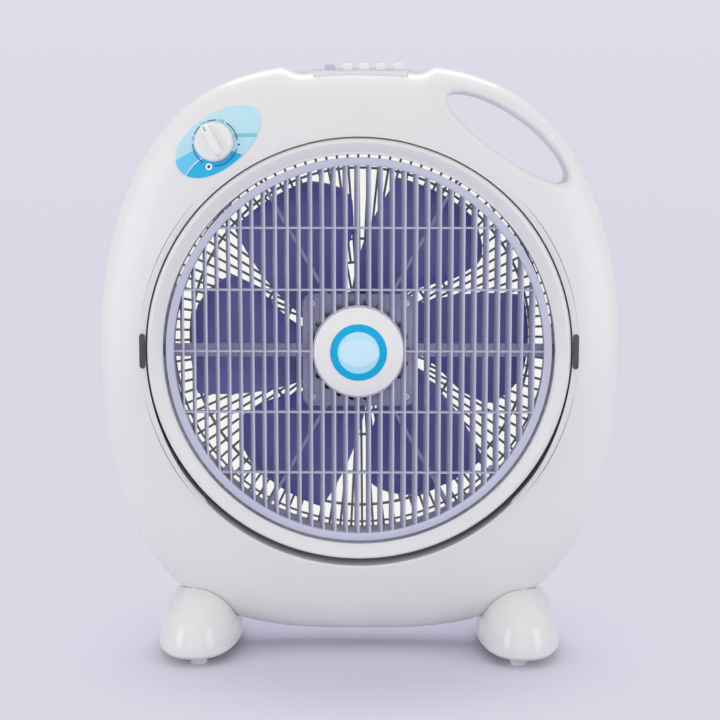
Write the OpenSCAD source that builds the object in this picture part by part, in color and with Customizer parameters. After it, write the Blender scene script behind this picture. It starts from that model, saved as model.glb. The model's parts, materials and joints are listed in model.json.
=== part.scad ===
// Box fan: a pillow-shaped body on two feet holds a round drum that tilts on two side pivots.
// In the drum a motor drives a six-bladed impeller, and a small geared motor turns the louvre
// wheel in front of it. Origin on the floor below the body's middle, +Z up, front faces -Y.
// Most modules are drawn in the drum's own axes: x to the right, y up and z towards the front.

/* [Body] */
// Width of the body
body_w = 508; // [500:1:540]
// Height of the body without its feet
body_h = 554; // [546:1:580]
// Height of the drum's centre over the body's middle
drum_up = 4; // [0:0.5:6]
// Depth of the body at its middle
body_d = 120; // [114:1:128]
// How far the front falls back at the sides, as a share of the depth
bow = 0.3; // [0.2:0.01:0.35]
// Wall thickness of the mouldings
wall = 2.6; // [2:0.1:3.2]
// Squareness of the outline's upper half
square_top = 2.6; // [2.5:0.01:2.9]
// Squareness of the outline's lower half
square_low = 2.4; // [2.3:0.01:2.6]
// Squareness of the rounding from front to side
square_edge = 3; // [2.8:0.1:3.4]
// Width of the saddle in the top
saddle_w = 152; // [140:1:170]
// Depth of the saddle in the front lip
saddle_dip = 8; // [6:0.5:10]
// Depth of the saddle in the rear lip
saddle_back = 3; // [2:0.5:4]

/* [Handle] */
// Direction from the drum's centre to the middle of the handle hole, in degrees
grip_at = 55; // [53:0.2:57]
// Width of the face between the drum's well and the handle hole
grip_gap = 18.4; // [16:0.2:20]
// Half the angle that the handle hole spans, in degrees
grip_span = 15.8; // [14:0.2:16]
// Width of the handle hole at its middle
grip_w = 39; // [36:0.5:40]

/* [Feet] */
// Height of the body above the floor
body_lift = 19; // [16:1:24]
// Distance from the body's side to the middle of a foot
foot_in = 100; // [96:1:106]
// Width of a foot
foot_w = 82; // [76:1:88]
// Length of a foot from front to back
foot_l = 170; // [168:1:180]
// Height of a foot's crown
foot_h = 70; // [66:1:74]
// Radius of a rubber pad
pad_r = 8.3; // [7:0.1:9]
// Height of a rubber pad below the foot
pad_h = 7; // [6:0.5:8]
// Distance from the body's middle plane to a pad
pad_y = 66; // [60:1:68]

/* [Drum] */
// Radius of the ball that the drum is cut from
drum_r = 207; // [205:0.5:208]
// Distance from the pivots to the drum's front edge
drum_front = 55; // [53:0.5:56]
// Distance from the pivots to the drum's rear edge
drum_back = 62; // [60:0.5:64]
// Wall of the drum
drum_wall = 3; // [2.5:0.1:4]
// Gap between the drum and the body
drum_gap = 1.5; // [1.2:0.1:2]
// Width of the bezel ring round the louvre wheel
bezel_w = 13; // [12:0.5:14]
// Outer radius of the land round the drum
land_r = 209.7; // [209:0.1:211]
// Distance from the pivots to the land's face
land_z = 45; // [44:0.5:46]
// Radius of a pivot pin
pin_r = 5; // [4:0.5:6]
// Height of the trim caps over the pivots
trim_h = 33.5; // [30:0.5:36]

/* [Louvre wheel] */
// Gap between the wheel and the bezel
wheel_gap = 3; // [2.5:0.1:4]
// Width of the wheel's rim
rim_w = 7.5; // [6:0.5:9]
// Depth of the wheel's rim
rim_d = 14; // [12:0.5:16]
// Number of fins on each side of the middle fin
fins_side = 15; // [12:1:16]
// Thickness of a fin
fin_t = 1.6; // [1.4:0.1:2]
// How far a fin leans sideways over its depth
fin_lean = 2.4; // [0:0.2:3]
// Thickness of a cross bar
bar_t = 2; // [1.6:0.1:2.4]
// Radius of the hub cap
cap_r = 42.5; // [38:0.5:46]
// Height of the hub cap's dome
cap_rise = 9; // [7:0.5:10]
// Radius of the disc on the hub cap
disc_r = 27; // [22:0.5:32]

/* [Fan and motor] */
// Radius over the impeller's blade tips
blade_tip = 168; // [160:1:172]
// Radius of the impeller's hub
hub_r = 50; // [46:1:52]
// Number of blades
blades = 6; // [5:1:7]
// Thickness of a blade
blade_t = 2.4; // [2:0.1:3]
// Outer radius of the motor's cup
cup_r = 52; // [51:0.5:54]
// Outer radius of the motor's rotor
rotor_r = 24; // [20:0.5:26]
// Thickness of the stack of motor plates
stack_d = 22; // [18:1:24]
// Radius of the motor's shaft
shaft_r = 4; // [3:0.5:5]
// Distance from the middle to each motor screw, across and up
screw_at = 45; // [44:0.5:46]
// Radius of the louvre motor
gearbox_r = 25; // [22:0.5:28]
// Number of ribs in the rear grille
ribs = 48; // [36:1:54]
// Width of a rib
rib_w = 2; // [1.6:0.1:2.4]

/* [Controls] */
// Direction from the drum's centre to the timer, in degrees
timer_at = 124.5; // [122:0.5:127]
// How far the timer lies inside the middle of the face beside the drum
timer_drop = 9.2; // [7:0.2:11]
// Radius of the timer knob
knob_r = 18.4; // [16:0.2:20]
// Height of the timer knob
knob_h = 15; // [12:0.5:18]
// Direction that the knob's grip points to, in degrees left of upright
knob_turn = 32.5; // [0:0.5:60]
// Half the long axis of the timer's plate
plate_a = 47; // [44:0.5:49]
// Margin between the timer's plate and the edges of the face beside the drum
plate_margin = 12.6; // [11:0.2:15]
// Width of a key
key_w = 9.8; // [9:0.1:10.5]
// Depth of a key
key_d = 12; // [10:0.5:13]
// Distance between two keys
key_pitch = 16.3; // [15:0.1:17]
// Travel of a key
key_travel = 3.5; // [3:0.1:4]
// Sideways place of the first key
key_first = -27.8; // [-30:0.1:-26]
// How far a key stands above its panel
key_rise = 6; // [5:0.5:7]

/* [Fits] */
// Radial clearance of shafts and pins
run_fit = 0.05; // [0.03:0.01:0.08]
// Clearance round keys and set-in pieces
slide_fit = 0.3; // [0.2:0.05:0.4]
// Gap left under a seated piece
seat_fit = 0.2; // [0.1:0.05:0.3]

/* [Hidden] */
$fn = 96;
eps = 0.5;
half_w = body_w / 2;
half_d = body_d / 2;
top_h = body_h / 2 - drum_up;    // from the drum's centre to the top
low_h = body_h / 2 + drum_up;    // from the drum's centre to the bottom
drum_z = body_lift + low_h;
well_r = drum_r + drum_gap;
grip_r = well_r + wall + grip_gap + grip_w / 2;
foot_x = half_w - foot_in;
shell_color = [0.93, 0.93, 0.94];
louvre_color = [0.70, 0.71, 0.84];
blade_color = [0.34, 0.32, 0.58];
steel_color = [0.72, 0.73, 0.75];
dark_color = [0.36, 0.38, 0.37];

module face() { translate([0, 0, drum_z]) rotate([90, 0, 0]) children(); }

// ---- body surface ------------------------------------------------------------------------

function power(a) = sin(a) >= 0 ? square_top : square_low;
function reach(a) = sin(a) >= 0 ? top_h : low_h;
function ramp(t) = let (u = min(1, max(0, t))) u * u * (3 - 2 * u);
// how far the saddle lowers the top at x: a shallow W with soft ends
function saddle(x, dip) = dip * (1 + 0.2 * pow(4 * x / saddle_w * 0.72, 2) / 2) * ramp((saddle_w / 2 - abs(x)) / 20);
// distance from the drum's centre to the outline in direction a, for a skin set in by inset
function rim_r(a, inset, dip) =
    let (n = power(a),
        r = pow(pow(abs(cos(a)) / (half_w - inset), n) + pow(abs(sin(a)) / (reach(a) - inset), n), -1 / n))
    sin(a) < 0.8 ? r : r - saddle(r * cos(a), dip) / sin(a);
// height of the skin over the seam plane at distance r in direction a
function skin(r, a, inset, dip) =
    let (k = min(1, r / rim_r(a, inset, dip)), x = r * cos(a) / half_w)
    (half_d - inset) * (1 - bow * x * x) * pow(1 - pow(k, square_edge), 1 / square_edge);
// half the width of the face beside the drum at the timer, and the timer's place in it
timer_band = (rim_r(timer_at, 0, 0) - land_r) / 2;
timer_x = (land_r + timer_band - timer_drop) * cos(timer_at);
timer_up = (land_r + timer_band - timer_drop) * sin(timer_at);
plate_b = timer_band - plate_margin;
function skin_xy(x, y, inset = 0) = skin(norm([x, y]), atan2(y, x), inset, saddle_dip);
// radius at which the skin meets a ball of radius big, found by halving
function meet(a, inset, dip, big, lo, hi, n = 16) =
    let (mid = (lo + hi) / 2, d = skin(mid, a, inset, dip))
    n == 0 ? mid : mid * mid + d * d < big * big
        ? meet(a, inset, dip, big, mid, hi, n - 1) : meet(a, inset, dip, big, lo, mid, n - 1);

shell_angles = concat([for (a = [0:5:70]) a], [for (a = [72:1.5:108]) a], [for (a = [110:5:355]) a]);
skin_steps = [0, 0.03, 0.1, 0.22, 0.38, 0.58, 0.8, 1];

// rings down the skin, from the outline at s = 0 to the edge of the land round the drum at s = 1
function skin_ring(s, dip) = [for (a = shell_angles)
    let (r1 = rim_r(a, 0, dip), r = r1 + (land_r + 0.05 - r1) * s) [r * cos(a), r * sin(a), skin(r, a, 0, dip)]];
function land_ring(dip) = [for (a = shell_angles)
    let (r = land_r - 0.6) [r * cos(a), r * sin(a), max(land_z, skin(r, a, 0, dip))]];
function well_ring(s, dip) = [for (a = shell_angles)
    let (z = max(land_z, skin(meet(a, 0, dip, well_r, half_w / 2, rim_r(a, 0, dip)), a, 0, dip)) * (1 - s),
        r = sqrt(well_r * well_r - z * z)) [r * cos(a), r * sin(a), z]];
// the same behind the wall: the back of the well, then the inner skin from s = 1 to s = 0
function well_back(s, dip) = [for (a = shell_angles)
    let (big = well_r + wall, z = skin(meet(a, wall, dip, big, half_w / 2, rim_r(a, wall, dip)), a, wall, dip) * (1 - s),
        r = sqrt(big * big - z * z)) [r * cos(a), r * sin(a), z]];
function inner_ring(s, dip) = [for (a = shell_angles)
    let (r1 = rim_r(a, wall, dip), r0 = meet(a, wall, dip, well_r + wall, half_w / 2, r1), r = r1 + (r0 - r1) * s)
    [r * cos(a), r * sin(a), skin(r, a, wall, dip)]];

function flat(l) = [for (a = l) for (b = a) b];
// closed skin through a loop of equal rings of points
module ring_skin(rings) {
    n = len(rings);
    m = len(rings[0]);
    polyhedron(flat(rings), [for (i = [0:n - 1], j = [0:m - 1], half = [0, 1])
        let (a = i * m + j, b = i * m + (j + 1) % m, d = ((i + 1) % n) * m + j,
            c = ((i + 1) % n) * m + (j + 1) % m) half == 0 ? [a, c, b] : [a, d, c]]);
}
// closed skin through a stack of equal rings, with a ladder of triangles over each end
function ladder(m, at) = [for (j = [0:m / 2 - 2], half = [0, 1])
    half == 0 ? [at + j, at + j + 1, at + m - 2 - j] : [at + j, at + m - 2 - j, at + m - 1 - j]];
module stack_skin(rings) {
    n = len(rings);
    m = len(rings[0]);
    polyhedron(flat(rings), concat(ladder(m, 0), [for (t = ladder(m, (n - 1) * m)) [t[2], t[1], t[0]]],
        [for (i = [0:n - 2], j = [0:m - 1], half = [0, 1])
            let (a = i * m + j, b = i * m + (j + 1) % m, c = a + m, d = b + m) half == 0 ? [a, d, b] : [a, c, d]]));
}

// one hollow half of the body: outer skin, land, ball-shaped well, and the inner skin behind them
module half_shell(dip) {
    ring_skin(concat(
        [for (s = skin_steps) skin_ring(s, dip)], [land_ring(dip)],
        [for (s = [0:0.25:1]) well_ring(s, dip)],
        [for (s = [1:-0.25:0]) well_back(s, dip)],
        [for (i = [len(skin_steps) - 2:-1:0]) inner_ring(skin_steps[i], dip)]));
}

// ---- handle hole: a lens bent round the drum ------------------------------------------------

function grip_outline(grow) = [for (u = [351:-9:0])
    let (t = cos(u), a = grip_at + t * (grip_span + grow / grip_r * 57.3),
        r = grip_r + 4.8 * t * t + (grip_w / 2 + grow) * sin(u))
    [r * cos(a), r * sin(a)]];
function under_skin(p, dip) = skin(norm(p), atan2(p.y, p.x), 0, dip) - wall / 2;
module grip_wall(dip) {
    outer = grip_outline(wall);
    inner = grip_outline(-wall / 2);
    ring_skin([[for (p = outer) [p.x, p.y, 0]], [for (p = outer) [p.x, p.y, under_skin(p, dip)]],
        [for (p = inner) [p.x, p.y, under_skin(p, dip)]], [for (p = inner) [p.x, p.y, 0]]]);
}
module grip_hole() { translate([0, 0, -body_d]) linear_extrude(2 * body_d) polygon(grip_outline(0)); }

// ---- body halves and what joins them --------------------------------------------------------

screw_spots = [[228, 82], [-228, 82], [228, -82], [-228, -82], [62, 232], [-62, 232], [96, -224], [-96, -224]];
shank_r = 1.7;
head_r = 3.9;
head_d = 10;    // from the seam to the seat of a screw's head
shank_l = 22;
boss_r = 5.6;
foot_screw_y = 19;
foot_boss_r = 5;

function boss_end(p, r) = skin(norm(p) + r, atan2(p.y, p.x), 0, saddle_dip) - wall * 0.4;
module screw_bosses(r) {
    for (p = screw_spots) translate([p.x, p.y, 0]) cylinder(h = boss_end(p, r), r = r);
}
module screw_holes(r, l) {
    for (p = screw_spots) translate([p.x, p.y, -eps]) cylinder(h = l + eps, r = r);
}
module post_to_skin(p, from, r) { translate([p.x, p.y, from]) cylinder(h = boss_end(p, r) - from, r = r); }
// height of the body's underside over the floor at x, y
function under(x, y) =
    let (d = half_d * (1 - bow * x * x / half_w / half_w), c = pow(abs(y) / d, square_edge),
        k = c < 1 ? pow(1 - c, 1 / square_edge) : 0, s = k > 0 ? pow(abs(x) / k / half_w, square_low) : 1)
    s < 1 ? drum_z - k * low_h * pow(1 - s, 1 / square_low) : drum_z;
// posts inside the body that take the foot screws, drawn for the half that the seam's side names
module foot_posts(side) {
    for (x = [-foot_x, foot_x]) translate([x, side * foot_screw_y, under(x, foot_screw_y) + wall / 2 + 1])
        cylinder(h = 14, r = foot_boss_r);
}
module foot_post_holes(side) {
    for (x = [-foot_x, foot_x]) translate([x, side * foot_screw_y, 0])
        cylinder(h = under(x, foot_screw_y) + 12, r = shank_r + run_fit);
}
module pivot_holes() {
    rotate([0, 90, 0]) cylinder(h = 2 * (well_r + 2 * wall), r = bracket_neck + slide_fit, center = true);
}
panel_w = 4 * key_pitch + key_w + 14;
panel_d = 20;
panel_x = key_first + 2 * key_pitch - 3.3;
panel_z = top_h - 3.7;    // top of the key panel over the drum's centre
panel_t = 2.4;
panel_y = 11.5;            // middle of the panel in front of the seam
module panel_cut() {
    translate([panel_x - panel_w / 2 - slide_fit, panel_z - 26, panel_y - panel_d / 2 - slide_fit])
        cube([panel_w + 2 * slide_fit, 60, panel_d + 2 * slide_fit]);
}

// the timer's axis stands square on the skin
timer_out = skin_xy(timer_x, timer_up);
slope_x = skin_xy(timer_x + 1, timer_up) - timer_out;
slope_y = skin_xy(timer_x, timer_up + 1) - timer_out;
timer_len = norm([slope_x, slope_y, 1]);
timer_axis = [-slope_x, -slope_y, 1] / timer_len;
module at_timer() {
    translate([timer_x, timer_up, timer_out])
        rotate([-asin(timer_axis.y), atan2(timer_axis.x, timer_axis.z), 0]) children();
}
neck_r = 5;
bracket_neck = pin_r + 2.6;

module front_shell() {
    color(shell_color) difference() {
        union() {
            face() {
                half_shell(saddle_dip);
                grip_wall(saddle_dip);
                screw_bosses(boss_r - 1.2);
            }
            foot_posts(-1);
        }
        face() {
            grip_hole();
            screw_holes(shank_r + run_fit, shank_l - head_d + 2);
            pivot_holes();
            panel_cut();
            at_timer() cylinder(h = 20, r = neck_r + slide_fit, center = true);
        }
        foot_post_holes(-1);
    }
}

module rear_shell() {
    color(shell_color) difference() {
        union() {
            face() mirror([0, 0, 1]) {
                half_shell(saddle_back);
                grip_wall(saddle_back);
                screw_bosses(boss_r);
                post_to_skin(cap_spot, cap_seat, 6);
                post_to_skin(block_spot, block_seat, 6);
            }
            foot_posts(1);
        }
        face() {
            grip_hole();
            mirror([0, 0, 1]) {
                screw_holes(shank_r + 2 * slide_fit, body_d);
                translate([0, 0, head_d]) screw_holes(head_r + slide_fit, body_d);
                translate([gland_spot.x, gland_spot.y, 0]) cylinder(h = body_d, r = gland_r + slide_fit);
            }
            pivot_holes();
        }
        foot_post_holes(1);
    }
}

module shell_screws() {
    color(steel_color) face() for (p = screw_spots) translate([p.x, p.y, -head_d]) {
        cylinder(h = shank_l, r = shank_r);
        difference() {
            translate([0, 0, -2.6]) cylinder(h = 2.6, r = head_r);
            translate([0, 0, -3.6]) cylinder(h = 2.4, r = 1.6);
        }
    }
}

// ---- feet -----------------------------------------------------------------------------------

foot_rim = pad_h + 1;
foot_steps = [1, 0.96, 0.88, 0.78, 0.68, 0.58, 0.48, 0.38, 0.28, 0.18, 0.08, 0.01];
// crown of the foot: a dome over a rounded plan, kept under the body where it reaches it
function dome(u) = foot_rim + (foot_h - foot_rim) * pow(1 - pow(u, 1.8), 1 / 1.8);
function foot_ring(u, side, drop, inset) = [for (v = [0:10:350])
    let (x = u * (foot_w / 2 - inset) * sign(cos(v)) * pow(abs(cos(v)), 0.87),
        y = u * (foot_l / 2 - inset) * sign(sin(v)) * pow(abs(sin(v)), 0.87))
    [side * foot_x + x, y, min(dome(u), under(side * foot_x + x, y) - seat_fit) - drop]];
function foot_level(side, z, inset) = [for (p = foot_ring(1, side, 0, inset)) [p.x, p.y, z]];
module foot_shell(side) {
    stack_skin(concat([for (i = [len(foot_steps) - 1:-1:1]) foot_ring(foot_steps[i], side, wall, wall)],
        [foot_level(side, pad_h, wall + 2.2), foot_level(side, pad_h, 2.2), foot_level(side, pad_h + 2, 0.6)],
        [for (u = foot_steps) foot_ring(u, side, 0, 0)]));
}
module foot_core(side) {
    stack_skin(concat([foot_level(side, pad_h, 3), foot_level(side, pad_h + 2, 2)],
        [for (u = foot_steps) foot_ring(u, side, wall / 2, wall / 2)]));
}
peg_r = 3;
module foot(side) {
    color(shell_color) difference() {
        union() {
            foot_shell(side);
            intersection() {
                foot_core(side);
                union() {
                    for (y = [-pad_y, pad_y]) translate([side * foot_x, y, 0]) cylinder(h = foot_h, r = pad_r + 1);
                    for (y = [-foot_screw_y, foot_screw_y]) translate([side * foot_x, y, foot_head])
                        cylinder(h = foot_h, r = 7);
                }
            }
        }
        for (y = [-pad_y, pad_y]) translate([side * foot_x, y, -eps])
            cylinder(h = pad_h + 6 + eps, r = peg_r + run_fit);
        for (y = [-foot_screw_y, foot_screw_y]) translate([side * foot_x, y, 0])
            cylinder(h = body_h / 2, r = shank_r + slide_fit);
    }
}
foot_head = 42;    // height of the foot screws' seats
module left_foot() { foot(-1); }
module right_foot() { foot(1); }
module foot_pads() {
    color([0.75, 0.75, 0.78]) for (x = [-foot_x, foot_x], y = [-pad_y, pad_y]) translate([x, y, 0]) {
        cylinder(h = pad_h, r = pad_r);
        cylinder(h = pad_h + 5, r = peg_r);
    }
}
module foot_screws() {
    color(steel_color) for (x = [-foot_x, foot_x], y = [-foot_screw_y, foot_screw_y])
        translate([x, y, foot_head]) {
            cylinder(h = under(x, y) + 10 - foot_head, r = shank_r);
            translate([0, 0, -2.6]) cylinder(h = 2.6, r = head_r);
        }
}

// ---- tilting pivots -------------------------------------------------------------------------

module both_sides() { for (m = [0, 1]) mirror([m, 0, 0]) children(); }
bracket_in = well_r + wall + 0.6;
bracket_l = 14;
bracket_h = 36;
bracket_d = 24;
module pivot_brackets() {
    color(steel_color) face() both_sides() difference() {
        union() {
            translate([bracket_in, -bracket_h / 2, -bracket_d / 2]) cube([bracket_l, bracket_h, bracket_d]);
            translate([well_r + 0.4, 0, 0]) rotate([0, 90, 0]) cylinder(h = 6, r = bracket_neck);
        }
        rotate([0, 90, 0]) cylinder(h = body_w, r = pin_r + run_fit);
        sphere(r = well_r + 0.1);
    }
}
module pivot_washers() {
    color(dark_color) face() both_sides() translate([drum_r + run_fit, 0, 0]) rotate([0, 90, 0]) difference() {
        cylinder(h = drum_gap - 0.7, r = pin_r + 5);
        translate([0, 0, -eps]) cylinder(h = drum_gap + 2 * eps, r = pin_r + run_fit);
    }
}
module pivot_pins() {
    color(steel_color) face() both_sides() rotate([0, 90, 0]) {
        translate([0, 0, drum_r - drum_wall - 3.4]) cylinder(h = 3, r = pin_r + 4);
        translate([0, 0, drum_r - drum_wall - 3.4]) cylinder(h = 3.4 + drum_wall + drum_gap + wall + bracket_l - 2, r = pin_r);
    }
}
// oblong caps that trim the land beside each pivot
module pivot_trims() {
    trim_w = land_r - sqrt(well_r * well_r - land_z * land_z) - 0.4;
    color(dark_color) face() both_sides()
        translate([land_r - trim_w / 2 - 0.2, 0, land_z + 0.05]) linear_extrude(1.8) {
            square([trim_w, trim_h - trim_w], center = true);
            for (y = [-1, 1]) translate([0, y * (trim_h - trim_w) / 2]) circle(d = trim_w);
        }
}

// ---- mains parts in the body ----------------------------------------------------------------

gland_spot = [128, -196];
gland_r = 6;
cap_spot = [-128, -198];
cap_seat = 14;
cap_size = [40, 20, 26];
block_spot = [70, -228];
block_seat = 8;
gland_out = skin_xy(gland_spot.x, gland_spot.y);
module cord_gland() {
    color(dark_color) face() mirror([0, 0, 1]) translate([gland_spot.x, gland_spot.y, 0]) difference() {
        union() {
            translate([0, 0, gland_out - 16]) cylinder(h = 24, r = gland_r);
            translate([0, 0, gland_out + 3.5]) cylinder(h = 3, r = gland_r + 2);
        }
        cylinder(h = body_d, r = 3.6);
    }
}
module run_capacitor() {
    color([0.85, 0.85, 0.82]) face() translate([cap_spot.x, cap_spot.y, -cap_seat + seat_fit]) {
        translate([-cap_size.x / 2, -cap_size.y / 2, 0]) cube([cap_size.x, cap_size.y, cap_size.z]);
    }
}
module terminal_block() {
    color(shell_color) face() translate([block_spot.x, block_spot.y, -block_seat + seat_fit]) difference() {
        translate([-17, -7, 0]) cube([34, 14, 13]);
        for (x = [-12:6:12]) translate([x, 0, 6]) cylinder(h = 10, r = 1.8);
    }
}

// ---- keys on top ----------------------------------------------------------------------------

flange_y = 6.5;    // from the panel's top down to the keys' flanges
function key_x(i) = key_first + i * key_pitch;
module key_slots(grow, top, bottom) {
    for (i = [0:4]) translate([key_x(i) - key_w / 2 - grow, bottom, panel_y - key_d / 2 - grow])
        cube([key_w + 2 * grow, top - bottom, key_d + 2 * grow]);
}
module key_panel() {
    color(louvre_color) face() difference() {
        translate([panel_x - panel_w / 2, panel_z - 16, panel_y - panel_d / 2]) cube([panel_w, 16, panel_d]);
        translate([panel_x - panel_w / 2 + 1.6, panel_z - 17, panel_y - panel_d / 2 + 1.6])
            cube([panel_w - 3.2, 17 - panel_t, panel_d - 3.2]);
        key_slots(slide_fit, panel_z + eps, panel_z - 10);
    }
}
switch_top = panel_z - 16.2;
module key_switch() {
    color(dark_color) face() difference() {
        translate([panel_x - panel_w / 2, switch_top - 13, panel_y - panel_d / 2]) cube([panel_w, 13, panel_d]);
        for (i = [0:4]) translate([key_x(i) - 2 - slide_fit, switch_top - 9, panel_y - 2 - slide_fit])
            cube([4 + 2 * slide_fit, 10, 4 + 2 * slide_fit]);
    }
}
// a key: cap, retaining flange under the panel and a stem into the switch
module key(i) {
    face() translate([key_x(i), 0, panel_y]) {
        translate([-key_w / 2, panel_z - flange_y - 2, -key_d / 2]) cube([key_w, key_rise + flange_y + 0.8, key_d]);
        translate([0, panel_z + key_rise - 1.25, 0]) {
            translate([-key_w / 2 + 0.7, 0, -key_d / 2 + 0.7]) cube([key_w - 1.4, 1.25, key_d - 1.4]);
        }
        translate([-key_w / 2 - 0.9, panel_z - flange_y - 2, -key_d / 2 - 0.9])
            cube([key_w + 1.8, 2, key_d + 1.8]);
        translate([-2, switch_top - 4, -2]) cube([4, panel_z - flange_y - switch_top + 3, 4]);
    }
}
module key_off() { color(louvre_color) key(0); }
module key_low() { color("white") key(1); }
module key_medium() { color("white") key(2); }
module key_high() { color("white") key(3); }
module key_swing() { color("white") key(4); }

// ---- timer ----------------------------------------------------------------------------------

plate_turn = 40;
plate_t = 0.8;
timer_r = 17;
timer_deep = 24;
function plate_ring(u, h) = [for (v = [0:12:348])
    let (x = u * plate_a * (1 + 0.08 * cos(v)) * cos(v), y = u * plate_b * sin(v),
        px = timer_x + x * cos(plate_turn) - y * sin(plate_turn),
        py = timer_up + x * sin(plate_turn) + y * cos(plate_turn))
    [px, py, skin_xy(px, py) + h]];
module timer_plate() {
    color([0.55, 0.82, 0.93]) face() difference() {
        stack_skin(concat([for (u = [0.01, 0.35, 0.7, 0.99]) plate_ring(u, 0.15)],
            [for (u = [0.99, 0.7, 0.35, 0.01]) plate_ring(u, plate_t + 0.15)]));
        at_timer() cylinder(h = 20, r = neck_r + 2, center = true);
    }
}
module timer_body() {
    color(dark_color) face() at_timer() difference() {
        union() {
            translate([0, 0, -timer_deep - 6]) cylinder(h = timer_deep, r = timer_r);
            translate([0, 0, -10]) cylinder(h = 11, r = neck_r);
        }
        translate([0, 0, -20]) cylinder(h = 30, r = 3 + run_fit);
    }
}
knob_gap = 1.4;
module timer_shaft() {
    color(steel_color) face() at_timer() translate([0, 0, -16]) cylinder(h = 24, r = 3);
}
module timer_knob() {
    color("white") face() at_timer() difference() {
        union() {
            translate([0, 0, knob_gap]) cylinder(h = knob_h * 0.45, r1 = knob_r, r2 = knob_r - 1);
            rotate(knob_turn) translate([0, 0, knob_gap + knob_h * 0.4]) linear_extrude(knob_h * 0.6) {
                square([7, 2 * knob_r - 11], center = true);
                for (s = [-1, 1]) translate([0, s * (knob_r - 5.5)]) circle(d = 7);
            }
        }
        translate([0, 0, -1]) cylinder(h = 9 + seat_fit, r = 3 + run_fit);
    }
}

// ---- drum -----------------------------------------------------------------------------------

bezel_out = sqrt(drum_r * drum_r - drum_front * drum_front);
bezel_in = bezel_out - bezel_w;
hoop_z = 34;       // front of the spider's hoop and plate
hoop_w = 10;
hoop_screw_r = bezel_in + 5.4;
grille_r = sqrt(drum_r * drum_r - (drum_back + 3) * (drum_back + 3)) - 0.4;
grille_screw_r = grille_r - 4.8;
module round_about(n, r, turn = 0) { for (i = [0:n - 1]) rotate(i * 360 / n + turn) translate([r, 0, 0]) children(); }
module drum_shell() {
    color(shell_color) face() difference() {
        union() {
            difference() {
                sphere(r = drum_r, $fn = 180);
                sphere(r = drum_r - drum_wall, $fn = 180);
                translate([0, 0, drum_front - 7.5]) cylinder(h = drum_r, r = drum_r + 1);
                translate([0, 0, -drum_back - drum_r]) cylinder(h = drum_r, r = drum_r + 1);
            }
            rotate_extrude($fn = 180) polygon([[bezel_out - 0.3, drum_front - 0.4],
                [bezel_out - 3, drum_front + 0.2], [bezel_out - 8, drum_front - 1.9], [bezel_in, drum_front - 5.5],
                [bezel_in, hoop_z], [bezel_in + 2.4, hoop_z], [bezel_in + 2.4, drum_front - 7],
                [bezel_out - 7, drum_front - 4.6], [bezel_out - 3, drum_front - 2.8],
                [bezel_out + 0.6, drum_front - 8.4], [bezel_out + 1.8, drum_front - 7.6]]);
            round_about(4, hoop_screw_r, 45) translate([0, 0, hoop_z]) cylinder(h = 15, r = 5);
            round_about(4, grille_screw_r, 45) translate([0, 0, seat_fit - drum_back]) cylinder(h = 13, r = 4.5);
        }
        rotate([0, 90, 0]) cylinder(h = body_w, r = pin_r + run_fit, center = true);
        round_about(4, hoop_screw_r, 45) translate([0, 0, hoop_z - eps]) cylinder(h = 10, r = shank_r + run_fit);
        round_about(4, grille_screw_r, 45) translate([0, 0, -drum_back - eps]) cylinder(h = 11, r = shank_r + run_fit);
    }
}

plate_half = screw_at + 9;
plate_d = 2.5;
arm_w = 12.5;
vents = 22;
module rounded_square(half, r) {
    square([2 * half, 2 * (half - r)], center = true);
    square([2 * (half - r), 2 * half], center = true);
    for (x = [-1, 1], y = [-1, 1]) translate([x * (half - r), y * (half - r)]) circle(r = r);
}
module spider() {
    color([0.55, 0.54, 0.66]) face() difference() {
        union() {
            translate([0, 0, hoop_z - plate_d]) linear_extrude(plate_d) rounded_square(plate_half, 9);
            translate([0, 0, hoop_z - 5]) difference() {
                cylinder(h = 5 - seat_fit, r = bezel_in + hoop_w, $fn = 180);
                translate([0, 0, -eps]) cylinder(h = 5 + eps, r = bezel_in, $fn = 180);
            }
            for (m = [0, 180]) rotate(m) {
                translate([plate_half - 2, -arm_w / 2, hoop_z - plate_d + 0.1])
                    cube([bezel_in + 2 - plate_half + 2, arm_w, plate_d - 0.4]);
                translate([plate_half + 2, -arm_w / 2 + 1.5, hoop_z - 6.5])
                    cube([bezel_in + 1 - plate_half - 2, arm_w - 3, 5]);
            }
            for (a = [60, 120, 240, 300]) rotate(a) {
                translate([plate_half - 6, -1.5, hoop_z - plate_d + 0.1])
                    cube([bezel_in + 2 - plate_half + 6, 3, plate_d - 0.4]);
                translate([plate_half + 11, -1.4, hoop_z - 6.5]) cube([bezel_in + 1 - plate_half - 11, 2.8, 5]);
            }
        }
        translate([0, 0, hoop_z - 20]) cylinder(h = 30, r = 6);
        round_about(vents, cup_r - 6) translate([0, 0, hoop_z - 10]) cylinder(h = 20, r = 3, $fn = 24);
        for (x = [-1, 1], y = [-1, 1]) translate([x * screw_at, y * screw_at, hoop_z - 10])
            cylinder(h = 20, r = shank_r + slide_fit);
        round_about(4, hoop_screw_r, 45) translate([0, 0, hoop_z - 10]) cylinder(h = 20, r = shank_r + slide_fit);
    }
}
module spider_screws() {
    color(steel_color) face() round_about(4, hoop_screw_r, 45) {
        translate([0, 0, hoop_z - 5]) cylinder(h = 13, r = shank_r);
        translate([0, 0, hoop_z - 7.6]) cylinder(h = 2.6, r = head_r);
    }
}

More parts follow.
